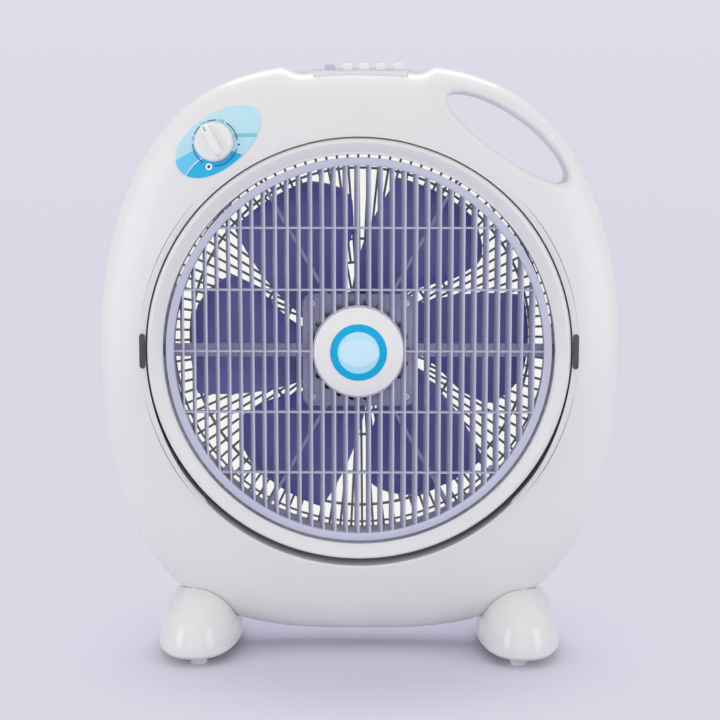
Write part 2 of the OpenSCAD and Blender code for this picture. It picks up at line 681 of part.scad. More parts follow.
cup_wall = 2.5;
cup_front = hoop_z - plate_d - seat_fit;
cup_back = -24;
module motor_cup() {
    color(dark_color) face() difference() {
        union() {
            translate([0, 0, cup_back]) cylinder(h = cup_front - cup_back, r = cup_r);
            translate([0, 0, cup_front - 3]) linear_extrude(3) rounded_square(plate_half - 1, 9);
            for (x = [-1, 1], y = [-1, 1]) translate([x * screw_at, y * screw_at, cup_front - 12])
                cylinder(h = 12, r = 5);
        }
        translate([0, 0, cup_back - eps]) cylinder(h = 2 * hoop_z - cup_back, r = cup_r - cup_wall);
        for (x = [-1, 1], y = [-1, 1]) translate([x * screw_at, y * screw_at, cup_front - 11])
            cylinder(h = 20, r = shank_r + run_fit);
    }
}
module motor_screws() {
    color(steel_color) face() for (x = [-1, 1], y = [-1, 1]) translate([x * screw_at, y * screw_at, hoop_z]) {
        translate([0, 0, -plate_d - 9]) cylinder(h = plate_d + 9, r = shank_r);
        difference() {
            cylinder(h = 2, r = head_r);
            translate([0, 0, 1]) linear_extrude(2) { square([5, 0.9], center = true); square([0.9, 5], center = true); }
        }
    }
}

core_z = -14;    // rear face of the motor's stack of plates
core_r = cup_r - cup_wall - seat_fit;
coil_d = 5.6;
bearing_r = 11;
bearing_d = 5;
module ring(r1, r2, h) {
    difference() { cylinder(h = h, r = r2); translate([0, 0, -eps]) cylinder(h = h + 2 * eps, r = r1); }
}
module stator() {
    color(steel_color) face() translate([0, 0, core_z]) difference() {
        cylinder(h = stack_d, r = core_r);
        translate([0, 0, -eps]) cylinder(h = stack_d + 2 * eps, r = rotor_r + 0.6);
        round_about(12, rotor_r + 3.2) translate([0, 0, -eps]) cylinder(h = stack_d + 2 * eps, r = 1.8, $fn = 24);
    }
}
module windings() {
    color([0.72, 0.42, 0.2]) face() {
        translate([0, 0, core_z + stack_d + seat_fit]) ring(rotor_r + 5.5, core_r - 7, coil_d);
        translate([0, 0, core_z - seat_fit - coil_d]) ring(rotor_r + 5.5, core_r - 7, coil_d);
    }
}
front_plate_z = core_z + stack_d + coil_d + 2 * seat_fit;
module front_plate() {
    color(steel_color) face() difference() {
        union() {
            translate([0, 0, front_plate_z]) cylinder(h = 2, r = core_r);
            translate([0, 0, front_plate_z - bearing_d]) cylinder(h = bearing_d, r = bearing_r + 2.5);
        }
        translate([0, 0, front_plate_z - bearing_d - eps]) cylinder(h = bearing_d + eps, r = bearing_r + 0.02);
        translate([0, 0, front_plate_z - eps]) cylinder(h = 4, r = shaft_r + 2);
    }
}
module rear_plate() {
    color(dark_color) face() difference() {
        union() {
            translate([0, 0, cup_back - 2.4 - seat_fit]) cylinder(h = 2.4, r = cup_r);
            translate([0, 0, cup_back - 2.4]) cylinder(h = bearing_d + 2.4, r = bearing_r + 2.5);
        }
        translate([0, 0, cup_back]) cylinder(h = bearing_d + eps, r = bearing_r + 0.02);
        translate([0, 0, cup_back - 4]) cylinder(h = 10, r = shaft_r + 2);
    }
}
module bearings() {
    color(steel_color) face() {
        translate([0, 0, front_plate_z - bearing_d]) ring(shaft_r + run_fit, bearing_r, bearing_d - 0.1);
        translate([0, 0, cup_back + 0.1]) ring(shaft_r + run_fit, bearing_r, bearing_d - 0.1);
    }
}
gearbox_z = front_plate_z + 2.6;
louvre_shaft_r = 3;
module louvre_motor() {
    color(dark_color) face() difference() {
        translate([0, 0, gearbox_z]) cylinder(h = cup_front - gearbox_z, r = gearbox_r);
        translate([0, 0, gearbox_z + 3]) cylinder(h = 30, r = louvre_shaft_r + run_fit);
    }
}

// ---- rear grille ----------------------------------------------------------------------------

grille_rise = 19;
rib_d = 2.6;
function grille_z(r) = drum_back + seat_fit + grille_rise * (1 - pow(r / grille_r, 2));
grille_rings = [77, 101, 173];
module rear_grille() {
    color(dark_color) face() mirror([0, 0, 1]) difference() {
        union() {
            translate([0, 0, drum_back + seat_fit]) ring(grille_r - 8.5, grille_r, 2.8, $fn = 180);
            rotate_extrude() polygon(concat([for (i = [0:6]) [i * 7, grille_z(i * 7) + 0.1]],
                [for (i = [6:-1:0]) [i * 7, grille_z(i * 7) + rib_d - 0.2]]));
            for (r = grille_rings) rotate_extrude($fn = 180)
                translate([r - 1.3, grille_z(r) - 0.3]) square([2.6, rib_d + 0.5]);
            for (i = [0:ribs - 1]) rotate(i * 360 / ribs) rotate([90, 0, 0]) translate([0, 0, -rib_w / 2])
                linear_extrude(rib_w) polygon(concat(
                    [for (t = [0:0.2:1]) let (r = 39 + t * (grille_r - 43)) [r, grille_z(r)]],
                    [for (t = [1:-0.2:0]) let (r = 39 + t * (grille_r - 43)) [r, grille_z(r) + rib_d]]));
            round_about(4, grille_screw_r, 45) translate([0, 0, drum_back + seat_fit]) cylinder(h = 2.8, r = 4.6);
        }
        round_about(4, grille_screw_r, 45) translate([0, 0, drum_back - 2]) cylinder(h = 10, r = shank_r + slide_fit);
        round_about(4, grille_screw_r, 45) translate([0, 0, drum_back + seat_fit + 2.9]) cylinder(h = 9, r = head_r);
    }
}
module grille_screws() {
    color(steel_color) face() mirror([0, 0, 1]) round_about(4, grille_screw_r, 45) {
        translate([0, 0, drum_back - 9]) cylinder(h = 12 + seat_fit, r = shank_r);
        translate([0, 0, drum_back + 3]) translate([0, 0, seat_fit]) cylinder(h = 1.8, r = head_r - 0.8);
    }
}

// ---- turning parts of the fan ---------------------------------------------------------------

hub_front = -30;
hub_back = -50;
module rotor_core() { color(steel_color) face() translate([0, 0, core_z]) ring(shaft_r + 0.02, rotor_r, stack_d); }
module motor_shaft() {
    color(steel_color) face() translate([0, 0, hub_back - 6]) cylinder(h = front_plate_z + 1 - hub_back + 6, r = shaft_r);
}
module impeller_nut() {
    color(steel_color) face() translate([0, 0, hub_back - 5.2]) difference() {
        cylinder(h = 5, r = 8, $fn = 6);
        translate([0, 0, -eps]) cylinder(h = 6, r = shaft_r + 0.02);
    }
}
// blade outline: where its straight and its lobed edge stand at share w of its length
function edge_a(w) = -35 + 23 * pow(max(0, w), 0.75);
function edge_b(w) = 17 + 15 * ramp((w + 0.05) / 0.65) - 15 * pow(max(0, (w - 0.75) / 0.25), 2);
function blade_z(w, s) = -41 + 8 * w + (0.5 - s) * (18 + 20 * w) + 3 * sin(180 * s);
module blade(at) {
    chord = [for (i = [0:7]) i / 7];
    stack_skin([for (w = [-0.02, 0.1, 0.25, 0.4, 0.55, 0.7, 0.8, 0.88, 0.95, 1])
        let (r = hub_r + w * (blade_tip - hub_r), a0 = edge_a(w), a1 = edge_b(w))
        [for (side = [0, 1]) for (s = side == 0 ? chord : [for (i = [7:-1:0]) i / 7])
            let (a = 90 - at - (a0 + s * (a1 - a0)), z = blade_z(w, s) + (side == 0 ? 0.5 : -0.5) * blade_t)
            [r * cos(a), r * sin(a), z]]]);
}
module impeller() {
    color(blade_color) face() difference() {
        union() {
            difference() {
                translate([0, 0, hub_back]) cylinder(h = hub_front - hub_back, r = hub_r);
                translate([0, 0, hub_back - eps]) cylinder(h = hub_front - hub_back - 2.5 + eps, r = hub_r - 2.5);
            }
            translate([0, 0, hub_back]) cylinder(h = hub_front - hub_back - 1, r = shaft_r + 5);
            for (i = [0:blades - 1]) blade(i * 360 / blades + 25);
        }
        translate([0, 0, hub_back - 1]) cylinder(h = 30, r = shaft_r + 0.02);
    }
}

// ---- louvre wheel ---------------------------------------------------------------------------

wheel_r = bezel_in - wheel_gap;
wheel_in = wheel_r - rim_w;
wheel_front = drum_front - 5;
wheel_back = wheel_front - rim_d;
fin_front = wheel_front - 1;
fin_back = wheel_back + 1;
fin_pitch = wheel_in / (fins_side + 0.85);
bar_pitch = wheel_in / 3;
hub_top = wheel_front - 3;
hub_ring = cap_r + 1.5;
module louvre_wheel() {
    color(louvre_color) face() difference() {
        union() {
            translate([0, 0, wheel_back]) ring(wheel_in, wheel_r, rim_d, $fn = 180);
            for (i = [-fins_side:fins_side])
                let (x = i * fin_pitch, l = sqrt(pow(wheel_in + rim_w * 0.4, 2) - x * x))
                translate([x, 0, 0]) rotate([90, 0, 0]) translate([0, 0, -l]) linear_extrude(2 * l)
                    polygon([[-fin_t / 2, fin_front], [-fin_t / 2 - fin_lean, fin_back],
                        [fin_t / 2 - fin_lean, fin_back], [fin_t / 2, fin_front]]);
            for (j = [-2:2]) let (y = j * bar_pitch, l = sqrt(pow(wheel_in + rim_w * 0.4, 2) - y * y))
                translate([-l, y - bar_t / 2, fin_back + 1.5]) cube([2 * l, bar_t, 7]);
            translate([0, 0, wheel_back + 1]) cylinder(h = hub_top - wheel_back - 1, r = hub_ring);
        }
        translate([0, 0, wheel_back - 1]) cylinder(h = rim_d + 2, r = louvre_shaft_r + 0.02);
        translate([0, 0, hub_top]) cylinder(h = rim_d, r = cap_r + slide_fit);
    }
}
module louvre_shaft() {
    color(steel_color) face() translate([0, 0, gearbox_z + 3.4]) cylinder(h = hub_top - gearbox_z - 4, r = louvre_shaft_r);
}
ball_r = (cap_r * cap_r + cap_rise * cap_rise) / (2 * cap_rise);
cap_base = 2;
module hub_cap() {
    color("white") face() translate([0, 0, hub_top + 0.05]) intersection() {
        translate([0, 0, cap_rise + cap_base - ball_r]) sphere(r = ball_r, $fn = 180);
        cylinder(h = 2 * cap_rise + cap_base, r = cap_r);
    }
}
module cap_disc() {
    color([0.3, 0.68, 0.88]) face() translate([0, 0, hub_top + 0.05]) intersection() {
        translate([0, 0, cap_rise + cap_base - ball_r]) difference() {
            sphere(r = ball_r + 0.5, $fn = 180);
            sphere(r = ball_r + 0.05, $fn = 180);
        }
        cylinder(h = 2 * cap_rise + cap_base, r = disc_r);
    }
}

front_shell();
rear_shell();
left_foot();
right_foot();
foot_pads();
foot_screws();
shell_screws();
pivot_brackets();
pivot_washers();
pivot_trims();
cord_gland();
terminal_block();
run_capacitor();
key_panel();
key_switch();
key_off();
key_low();
key_medium();
key_high();
key_swing();
timer_plate();
timer_body();
timer_shaft();
timer_knob();
drum_shell();
pivot_pins();
spider();
spider_screws();
motor_cup();
motor_screws();
stator();
windings();
front_plate();
rear_plate();
bearings();
louvre_motor();
rear_grille();
grille_screws();
rotor_core();
motor_shaft();
impeller();
impeller_nut();
louvre_wheel();
louvre_shaft();
hub_cap();
cap_disc();
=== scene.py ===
import json
import math

import bpy
import numpy as np
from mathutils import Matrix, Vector


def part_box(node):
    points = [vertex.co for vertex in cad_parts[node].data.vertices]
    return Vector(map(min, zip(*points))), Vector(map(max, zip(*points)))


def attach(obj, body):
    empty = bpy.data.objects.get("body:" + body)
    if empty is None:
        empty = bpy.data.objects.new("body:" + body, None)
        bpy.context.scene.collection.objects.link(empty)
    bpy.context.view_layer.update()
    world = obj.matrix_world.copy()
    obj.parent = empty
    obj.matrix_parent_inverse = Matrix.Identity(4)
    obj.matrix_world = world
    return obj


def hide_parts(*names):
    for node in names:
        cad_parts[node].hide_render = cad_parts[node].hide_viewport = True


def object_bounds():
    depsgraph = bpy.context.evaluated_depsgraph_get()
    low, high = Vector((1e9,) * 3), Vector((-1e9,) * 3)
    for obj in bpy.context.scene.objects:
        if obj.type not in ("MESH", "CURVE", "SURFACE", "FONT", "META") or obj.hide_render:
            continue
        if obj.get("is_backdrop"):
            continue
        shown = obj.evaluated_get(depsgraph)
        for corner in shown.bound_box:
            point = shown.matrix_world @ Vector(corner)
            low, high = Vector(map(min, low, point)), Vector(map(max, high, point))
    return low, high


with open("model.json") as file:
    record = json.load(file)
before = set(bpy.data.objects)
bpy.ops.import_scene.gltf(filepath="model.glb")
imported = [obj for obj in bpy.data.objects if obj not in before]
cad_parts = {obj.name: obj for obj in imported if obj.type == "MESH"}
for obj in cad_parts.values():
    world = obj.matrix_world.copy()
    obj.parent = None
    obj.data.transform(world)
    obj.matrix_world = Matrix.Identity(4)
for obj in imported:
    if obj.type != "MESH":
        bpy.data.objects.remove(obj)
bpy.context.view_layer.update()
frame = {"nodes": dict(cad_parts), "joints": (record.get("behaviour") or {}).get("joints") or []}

# Box fan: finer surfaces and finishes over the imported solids. Lengths are in metres.
# "out" is the distance in front of the drum's pivots (-Y), "up" the height over them.


def jointNamed(name):
    return next(j for j in frame["joints"] if j["name"] == name)


drumCentre = np.array(jointNamed("drum_tilt")["pos_m"], float)


def boxOf(*nodes):
    corners = [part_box(n) for n in nodes]
    return (np.min([np.array(c[0]) for c in corners], axis=0),
            np.max([np.array(c[1]) for c in corners], axis=0))


def fromDrum(x, up, out):
    # joins arrays of sideways place, height over the pivots and distance in front of them
    x, up, out = np.broadcast_arrays(x, up, out)
    return np.stack([drumCentre[0] + x, drumCentre[1] - out, drumCentre[2] + up], axis=-1)


# ---- meshes from grids of points

weldGap = 2e-6


def gridPart(points, loopRows=False, loopColumns=True, keepTurn=False):
    # quads over a grid of points; a closed grid is turned so that its signed volume is positive
    points = np.asarray(points, float)
    rows, columns = points.shape[:2]
    index = np.arange(rows * columns).reshape(rows, columns)
    if loopRows:
        index = np.vstack([index, index[:1]])
    if loopColumns:
        index = np.hstack([index, index[:, :1]])
    quads = np.stack([index[:-1, :-1], index[:-1, 1:], index[1:, 1:], index[1:, :-1]], axis=-1)
    quads = quads.reshape(-1, 4)
    flat = points.reshape(-1, 3)
    a, b, c, d = (flat[quads[:, i]] - flat.mean(axis=0) for i in range(4))
    volume = np.einsum("ij,ij->i", a, np.cross(b, c)).sum() + np.einsum("ij,ij->i", a, np.cross(c, d)).sum()
    if volume < 0 and not keepTurn:
        quads = quads[:, ::-1]
    return flat, quads


def joinParts(parts):
    counts = np.cumsum([0] + [len(p[0]) for p in parts])
    return (np.concatenate([p[0] for p in parts]),
            np.concatenate([p[1] + start for p, start in zip(parts, counts)]))


def weld(points, quads):
    # merges equal points; a quad with a doubled corner becomes a triangle, and one with less is dropped
    keys = np.round(points / weldGap).astype(np.int64)
    _, first, back = np.unique(keys, axis=0, return_index=True, return_inverse=True)
    quads = back.reshape(-1)[quads]
    same = quads == np.roll(quads, -1, axis=1)
    doubled = same.sum(axis=1)
    crossed = (quads[:, 0] == quads[:, 2]) | (quads[:, 1] == quads[:, 3])
    triangles = []
    for k in range(4):
        chosen = (doubled == 1) & same[:, k] & ~crossed
        triangles.append(quads[chosen][:, [k, (k + 2) % 4, (k + 3) % 4]])
    return points[first], quads[(doubled == 0) & ~crossed], np.concatenate(triangles)


def meshFrom(name, part):
    points, quads, triangles = weld(*part)
    mesh = bpy.data.meshes.new(name)
    mesh.vertices.add(len(points))
    mesh.vertices.foreach_set("co", points.astype(np.float32).ravel())
    corners = np.concatenate([quads.ravel(), triangles.ravel()]).astype(np.int32)
    sizes = np.concatenate([np.full(len(quads), 4), np.full(len(triangles), 3)])
    mesh.loops.add(len(corners))
    mesh.loops.foreach_set("vertex_index", corners)
    mesh.polygons.add(len(sizes))
    mesh.polygons.foreach_set("loop_start", np.concatenate([[0], np.cumsum(sizes)[:-1]]).astype(np.int32))
    mesh.polygons.foreach_set("loop_total", sizes.astype(np.int32))
    mesh.update(calc_edges=True)
    mesh.validate()
    return mesh


def shade(mesh, sharpAngle=38):
    mesh.polygons.foreach_set("use_smooth", np.ones(len(mesh.polygons), bool))
    mesh.set_sharp_from_angle(angle=math.radians(sharpAngle))
    mesh.update()


def newObject(name, part):
    thing = bpy.data.objects.new(name, meshFrom(name, part))
    bpy.context.scene.collection.objects.link(thing)
    return thing


def piece(name, parts, finish, body, standsFor=(), cutters=()):
    # a finished piece on a body; the finish is named
    thing = newObject(name, joinParts(parts) if isinstance(parts, list) else parts)
    if cutters:
        carve(thing, list(cutters))
    shade(thing.data)
    thing.data.materials.clear()
    thing.data.materials.append(finishes[finish])
    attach(thing, body)
    if standsFor:
        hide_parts(*standsFor)


def carve(thing, cutters):
    tool = newObject("cutter", joinParts(cutters))
    cut = thing.modifiers.new("cut", "BOOLEAN")
    cut.operation, cut.solver, cut.object = "DIFFERENCE", "EXACT", tool
    bpy.context.view_layer.update()
    shaped = bpy.data.meshes.new_from_object(thing.evaluated_get(bpy.context.evaluated_depsgraph_get()))
    thing.modifiers.clear()
    thing.data = shaped
    bpy.data.objects.remove(tool)


# ---- common shapes

def softPath(points, radii, steps=5):
    # a closed outline whose corners are replaced by short curves of about the given radii
    points = np.asarray(points, float)
    radii = np.broadcast_to(radii, len(points))
    path = []
    for i in range(len(points)):
        before, here, after = points[i - 1], points[i], points[(i + 1) % len(points)]
        if radii[i] == 0:
            path.append(here[None])
            continue
        toBefore, toAfter = before - here, after - here
        start = here + toBefore * min(0.48, radii[i] / np.linalg.norm(toBefore))
        end = here + toAfter * min(0.48, radii[i] / np.linalg.norm(toAfter))
        t = np.linspace(0, 1, steps + 1)[:, None]
        path.append((1 - t) ** 2 * start + 2 * t * (1 - t) * here + t ** 2 * end)
    return np.concatenate(path)


def axesFor(direction):
    # two unit vectors square to a direction
    w = np.asarray(direction, float) / np.linalg.norm(direction)
    u = np.cross(w, [0, 0, 1.0] if abs(w[2]) < 0.9 else [1.0, 0, 0])
    u /= np.linalg.norm(u)
    return u, np.cross(w, u), w


def turned(profile, centre, direction, around=96, closed=True):
    # a profile of (radius, height) pairs carried round an axis
    u, v, w = axesFor(direction)
    angle = np.linspace(0, 2 * np.pi, around, endpoint=False)
    ringDirection = np.cos(angle)[:, None] * u + np.sin(angle)[:, None] * v
    profile = np.asarray(profile, float)
    radius, height = profile[:, 0, None, None], profile[:, 1, None, None]
    return gridPart(np.asarray(centre, float) + radius * ringDirection + height * w, loopRows=closed)


def peg(radius, low, high, centre, direction, edge=0.0004, around=48):
    # a round bar with softened ends, closed on its axis
    return turned(np.concatenate([[[0, low]], softPath([[0, low], [radius, low], [radius, high], [0, high]],
                  [0, edge, edge, 0], 4)[1:-1], [[0, high]]]), centre, direction, around, closed=False)


def block(centre, half, radius, around=32):
    # a box with round edges: points of a ball pushed out to the box's corners
    theta = np.linspace(0, np.pi, around // 2 + 1)
    theta = np.concatenate([theta[:around // 4 + 1], theta[around // 4:]])
    phi = np.linspace(0, 2 * np.pi, around, endpoint=False) + np.pi / around
    theta, phi = np.meshgrid(theta, phi, indexing="ij")
    side = np.ones_like(theta)
    side[around // 4 + 1:] = -1
    ball = np.stack([np.sin(theta) * np.cos(phi), np.sin(theta) * np.sin(phi), np.cos(theta)], axis=-1)
    inner = np.maximum(np.asarray(half, float) - radius, 0)
    signs = np.stack([np.sign(np.cos(phi)), np.sign(np.sin(phi)), side], axis=-1)
    onPole = (np.sin(theta) < 1e-9)[..., None]
    flatPart = np.where(onPole, [0, 0, 1], [1, 1, 1]) * signs * inner
    return gridPart(np.asarray(centre, float) + flatPart + ball * radius)


def bar(section, start, end, sideways, upwards):
    # a closed section of (sideways, upwards) pairs run from start to end, with flat ends
    section = np.asarray(section, float)
    sideways, upwards, start, end = (np.asarray(v, float) for v in (sideways, upwards, start, end))
    offset = section[:, 0, None] * sideways + section[:, 1, None] * upwards
    middle = offset.mean(axis=0)
    rows = [np.repeat((start + middle)[None], len(section), axis=0), start + offset, end + offset,
            np.repeat((end + middle)[None], len(section), axis=0)]
    return gridPart(np.stack(rows))


def raised(outline, rows, centre, axes):
    # a closed outline of (across, along) pairs carried through rows of (share, height); share 0 is its middle
    outline = np.asarray(outline, float)
    u, v, w = (np.asarray(axis, float) for axis in axes)
    middle = outline.mean(axis=0)
    flatRows = [middle + (outline - middle) * share for share, _ in rows]
    return gridPart(np.stack([np.asarray(centre, float) + ring[:, :1] * u + ring[:, 1:] * v + height * w
                              for ring, (_, height) in zip(flatRows, rows)]))


def tint(red, green, blue):
    # a shade picked on the usual 0 to 255 scale, made linear
    return tuple(((c / 255 + 0.055) / 1.055) ** 2.4 for c in (red, green, blue))


def ramp(t):
    # smooth step from 0 to 1
    u = np.clip(t, 0, 1)
    return u * u * (3 - 2 * u)


print("helpers ready")

# ---- node materials

class Wire:
    # a value in a material's node tree; arithmetic on it adds Math nodes
    def __init__(self, tree, socket):
        self.tree, self.socket = tree, socket

    def math(self, operation, *values):
        return node(self.tree, "ShaderNodeMath", {"operation": operation}, dict(enumerate(values)))

    def __add__(self, other): return self.math("ADD", self, other)
    def __radd__(self, other): return self.math("ADD", other, self)
    def __sub__(self, other): return self.math("SUBTRACT", self, other)
    def __rsub__(self, other): return self.math("SUBTRACT", other, self)
    def __mul__(self, other): return self.math("MULTIPLY", self, other)
    def __rmul__(self, other): return self.math("MULTIPLY", other, self)
    def __truediv__(self, other): return self.math("DIVIDE", self, other)
    def __rtruediv__(self, other): return self.math("DIVIDE", other, self)
    def __pow__(self, other): return self.math("POWER", self, other)
    def __abs__(self): return self.math("ABSOLUTE", self)

    def step(self, low, high):
        # 0 at low and 1 at high, smooth between them; low may be the larger
        return node(self.tree, "ShaderNodeMapRange", {"interpolation_type": "SMOOTHSTEP"},
                    {0: self, 1: low, 2: high, 3: 0.0, 4: 1.0})


def node(tree, kind, settings=None, inputs=None, output=0):
    made = tree.nodes.new(kind)
    for key, value in (settings or {}).items():
        setattr(made, key, value)
    for key, value in (inputs or {}).items():
        plug(tree, made.inputs[key], value)
    return Wire(tree, made.outputs[output])


def plug(tree, socket, value):
    if isinstance(value, Wire):
        tree.links.new(value.socket, socket)
    elif isinstance(value, (tuple, list)) and len(value) == 3 and socket.type == "RGBA":
        socket.default_value = (*value, 1)
    else:
        socket.default_value = value


def mixColour(tree, share, a, b):
    return node(tree, "ShaderNodeMix", {"data_type": "RGBA", "blend_type": "MIX"}, {0: share, 6: a, 7: b}, 2)


def objectPlace(tree, move=(0, 0, 0), scale=(1, 1, 1)):
    place = node(tree, "ShaderNodeTexCoord", output=3)
    return node(tree, "ShaderNodeMapping", {"vector_type": "POINT"},
                {"Vector": place, "Location": move, "Scale": scale})


def split(tree, vector):
    return [node(tree, "ShaderNodeSeparateXYZ", None, {0: vector}, k) for k in range(3)]


def noise(tree, place, scale, detail=2.0, roughness=0.5):
    return node(tree, "ShaderNodeTexNoise", {"noise_dimensions": "3D"},
                {"Vector": place, "Scale": scale, "Detail": detail, "Roughness": roughness})


def bump(tree, height, distance):
    return node(tree, "ShaderNodeBump", None, {"Height": height, "Distance": distance, "Strength": 1.0})


def material(name, build, **fixed):
    # build(tree) gives the varying sockets of the shader; the fixed values are set on it
    made = bpy.data.materials.new(name)
    made.use_nodes = True
    tree = made.node_tree
    shader = tree.nodes["Principled BSDF"]
    for key, value in {**fixed, **build(tree)}.items():
        plug(tree, shader.inputs[key], value)
    return made


def moulded(name, colour, tone, driftScale, grainScale, grainDepth, roughness, spread, coat):
    # moulded plastic: slow drift of tone, a fine cast grain in the height and uneven polish
    def build(tree):
        place = objectPlace(tree)
        drift = noise(tree, place, driftScale, 3.0)
        grain = noise(tree, place, grainScale)
        rub = noise(tree, place, 55.0, 4.0, 0.6)
        return {"Base Color": mixColour(tree, drift.step(0.3, 0.7), colour, tone),
                "Roughness": roughness + (rub - 0.5) * spread, "Normal": bump(tree, grain, grainDepth)}
    return material(name, build, **{"Coat Weight": coat, "Coat Roughness": 0.12, "IOR": 1.49})


def metal(name, colour, tone, roughness, stretch):
    # drawn or rolled metal: fine streaks along one axis
    def build(tree):
        streak = noise(tree, objectPlace(tree, scale=stretch), 900.0, 3.0)
        stain = noise(tree, objectPlace(tree), 60.0, 3.0)
        return {"Base Color": mixColour(tree, stain.step(0.35, 0.7), colour, tone),
                "Roughness": roughness + (streak - 0.5) * 0.2, "Normal": bump(tree, streak, 0.00002)}
    return material(name, build, Metallic=1.0)


print("material tools ready")

# ---- finishes

plastics = {
    # name: colour, second tone, size of its drift, grain and its height, roughness, its spread, coat
    "bodyWhite": ((0.80, 0.80, 0.795), (0.775, 0.775, 0.775), 5, 900, 0.00003, 0.34, 0.10, 0.25),
    "footWhite": ((0.79, 0.79, 0.785), (0.77, 0.77, 0.77), 9, 900, 0.00001, 0.20, 0.06, 0.5),
    "knobWhite": ((0.86, 0.86, 0.845), (0.83, 0.83, 0.82), 30, 1400, 0.00001, 0.26, 0.08, 0.4),
    "louvreLilac": ((0.57, 0.58, 0.71), (0.53, 0.54, 0.68), 9, 1000, 0.00002, 0.36, 0.10, 0.15),
    "fanViolet": ((0.30, 0.28, 0.74), (0.265, 0.245, 0.66), 12, 800, 0.00002, 0.34, 0.12, 0.2),
    "spiderMauve": ((0.60, 0.57, 0.78), (0.54, 0.51, 0.71), 14, 700, 0.00004, 0.45, 0.12, 0.0),
    "grilleGrey": ((0.46, 0.46, 0.44), (0.40, 0.40, 0.38), 16, 700, 0.00003, 0.5, 0.12, 0.0),
    "trimGrey": ((0.075, 0.085, 0.082), (0.062, 0.070, 0.068), 60, 1300, 0.00003, 0.42, 0.14, 0.0),
    "greyPlastic": ((0.42, 0.42, 0.41), (0.36, 0.36, 0.35), 40, 900, 0.00003, 0.5, 0.14, 0.0),
    "blackPlastic": ((0.02, 0.02, 0.022), (0.028, 0.028, 0.03), 40, 900, 0.00003, 0.48, 0.16, 0.0),
    "padRubber": ((0.74, 0.74, 0.78), (0.68, 0.68, 0.73), 80, 1600, 0.00005, 0.6, 0.16, 0.0),
    "markInk": ((0.10, 0.10, 0.13), (0.14, 0.14, 0.17), 300, 2600, 0.000004, 0.4, 0.1, 0.0),
}
metals = {
    # name: colour, stain, roughness, stretch of the streaks
    "steel": ((0.60, 0.61, 0.63), (0.50, 0.51, 0.53), 0.32, (1, 0.05, 1)),
    "coreSteel": ((0.24, 0.24, 0.25), (0.17, 0.16, 0.16), 0.45, (0.05, 1, 0.05)),
}
finishes = {name: moulded(name, *look) for name, look in plastics.items()}
finishes.update({name: metal(name, *look) for name, look in metals.items()})


def copperTurns(tree):
    # enamelled wire wound round the motor's axis: ridges by the distance from the axis, which give the bumps
    # and also painted shade, darker copper in the grooves between the turns
    x, y, z = split(tree, objectPlace(tree, move=(0, 0, -drumCentre[2])))
    turns = ((x * x + z * z) ** 0.5 + y * 0.7) * 1100.0
    ridgeAndShade = abs(turns.math("SINE", turns))
    stain = noise(tree, objectPlace(tree), 130.0, 3.0)
    # painted shade: the copper is darker in the grooves between the turns, where the ridges are low
    return {"Base Color": mixColour(tree, ridgeAndShade * 0.7 + stain * 0.3, (0.20, 0.06, 0.018), (0.62, 0.24, 0.07)),
            "Roughness": 0.30 + stain * 0.15, "Normal": bump(tree, ridgeAndShade, 0.0003)}


finishes["copper"] = material("copper", copperTurns, Metallic=0.85)


def finishNode(name, finish):
    # gives a CAD node its finish
    frame["nodes"][name].data.materials.clear()
    frame["nodes"][name].data.materials.append(finishes[finish])


nodeFinishes = {
    "bodyWhite": ["front_shell", "rear_shell", "drum_shell"],
    "footWhite": ["left_foot", "right_foot"],
    "padRubber": ["foot_pads"],
    "steel": ["foot_screws", "shell_screws", "pivot_pins", "spider_screws", "motor_screws", "grille_screws",
              "front_plate", "bearings", "motor_shaft", "louvre_shaft", "timer_shaft"],
    "greyPlastic": ["pivot_brackets", "pivot_washers", "terminal_block", "run_capacitor"],
    "trimGrey": ["pivot_trims", "cord_gland"],
    "louvreLilac": ["key_panel", "key_off", "louvre_wheel"],
    "knobWhite": ["key_low", "key_medium", "key_high", "key_swing", "timer_knob", "hub_cap"],
    "blackPlastic": ["key_switch", "timer_body", "louvre_motor", "impeller_nut", "motor_cup"],
    "spiderMauve": ["spider", "rear_plate"],
    "coreSteel": ["stator", "rotor_core"],
    "copper": ["windings"],
    "grilleGrey": ["rear_grille"],
    "fanViolet": ["impeller"],
}
for finish, names in nodeFinishes.items():
    for name in names:
        finishNode(name, finish)

print("finishes ready")

# ---- body halves

shellBox = boxOf("front_shell", "rear_shell")
bodyShape = {
    "halfWidth": float(shellBox[1][0] - shellBox[0][0]) / 2,
    "topReach": 0.273,
    "lowReach": float(drumCentre[2] - shellBox[0][2]),
    "halfDepth": 0.060,
    "bow": 0.30,          # how far the front falls back at the sides, as a share of the depth
    "squareTop": 2.2,     # squareness of the outline at the sides, above and below
    "squareLow": 2.42,
    "squareMore": 0.55,   # how much squarer it grows towards the top and the bottom
    "squareEdge": 3.0,
    "wall": 0.0026,
    "saddleWidth": 0.152,
    "saddleFront": 0.0076,
    "saddleRear": 0.0034,
    "landRadius": 0.2097,
    "landFace": 0.045,
    "wellRadius": 0.2085,
    "stand": 0.2082,      # radius to which the well's edge draws back at the bottom
    "around": 540,
}


def squareness(angle):
    base = np.where(np.sin(angle) >= 0, bodyShape["squareTop"], bodyShape["squareLow"])
    return base + bodyShape["squareMore"] * np.sin(angle) ** 2


def saddleDrop(x, dip):
    # how far the top is lowered at x: a shallow W with soft ends
    width = bodyShape["saddleWidth"]
    return dip * (1 + 0.1 * (2.88 * x / width) ** 2) * ramp((width / 2 - abs(x)) / 0.020)


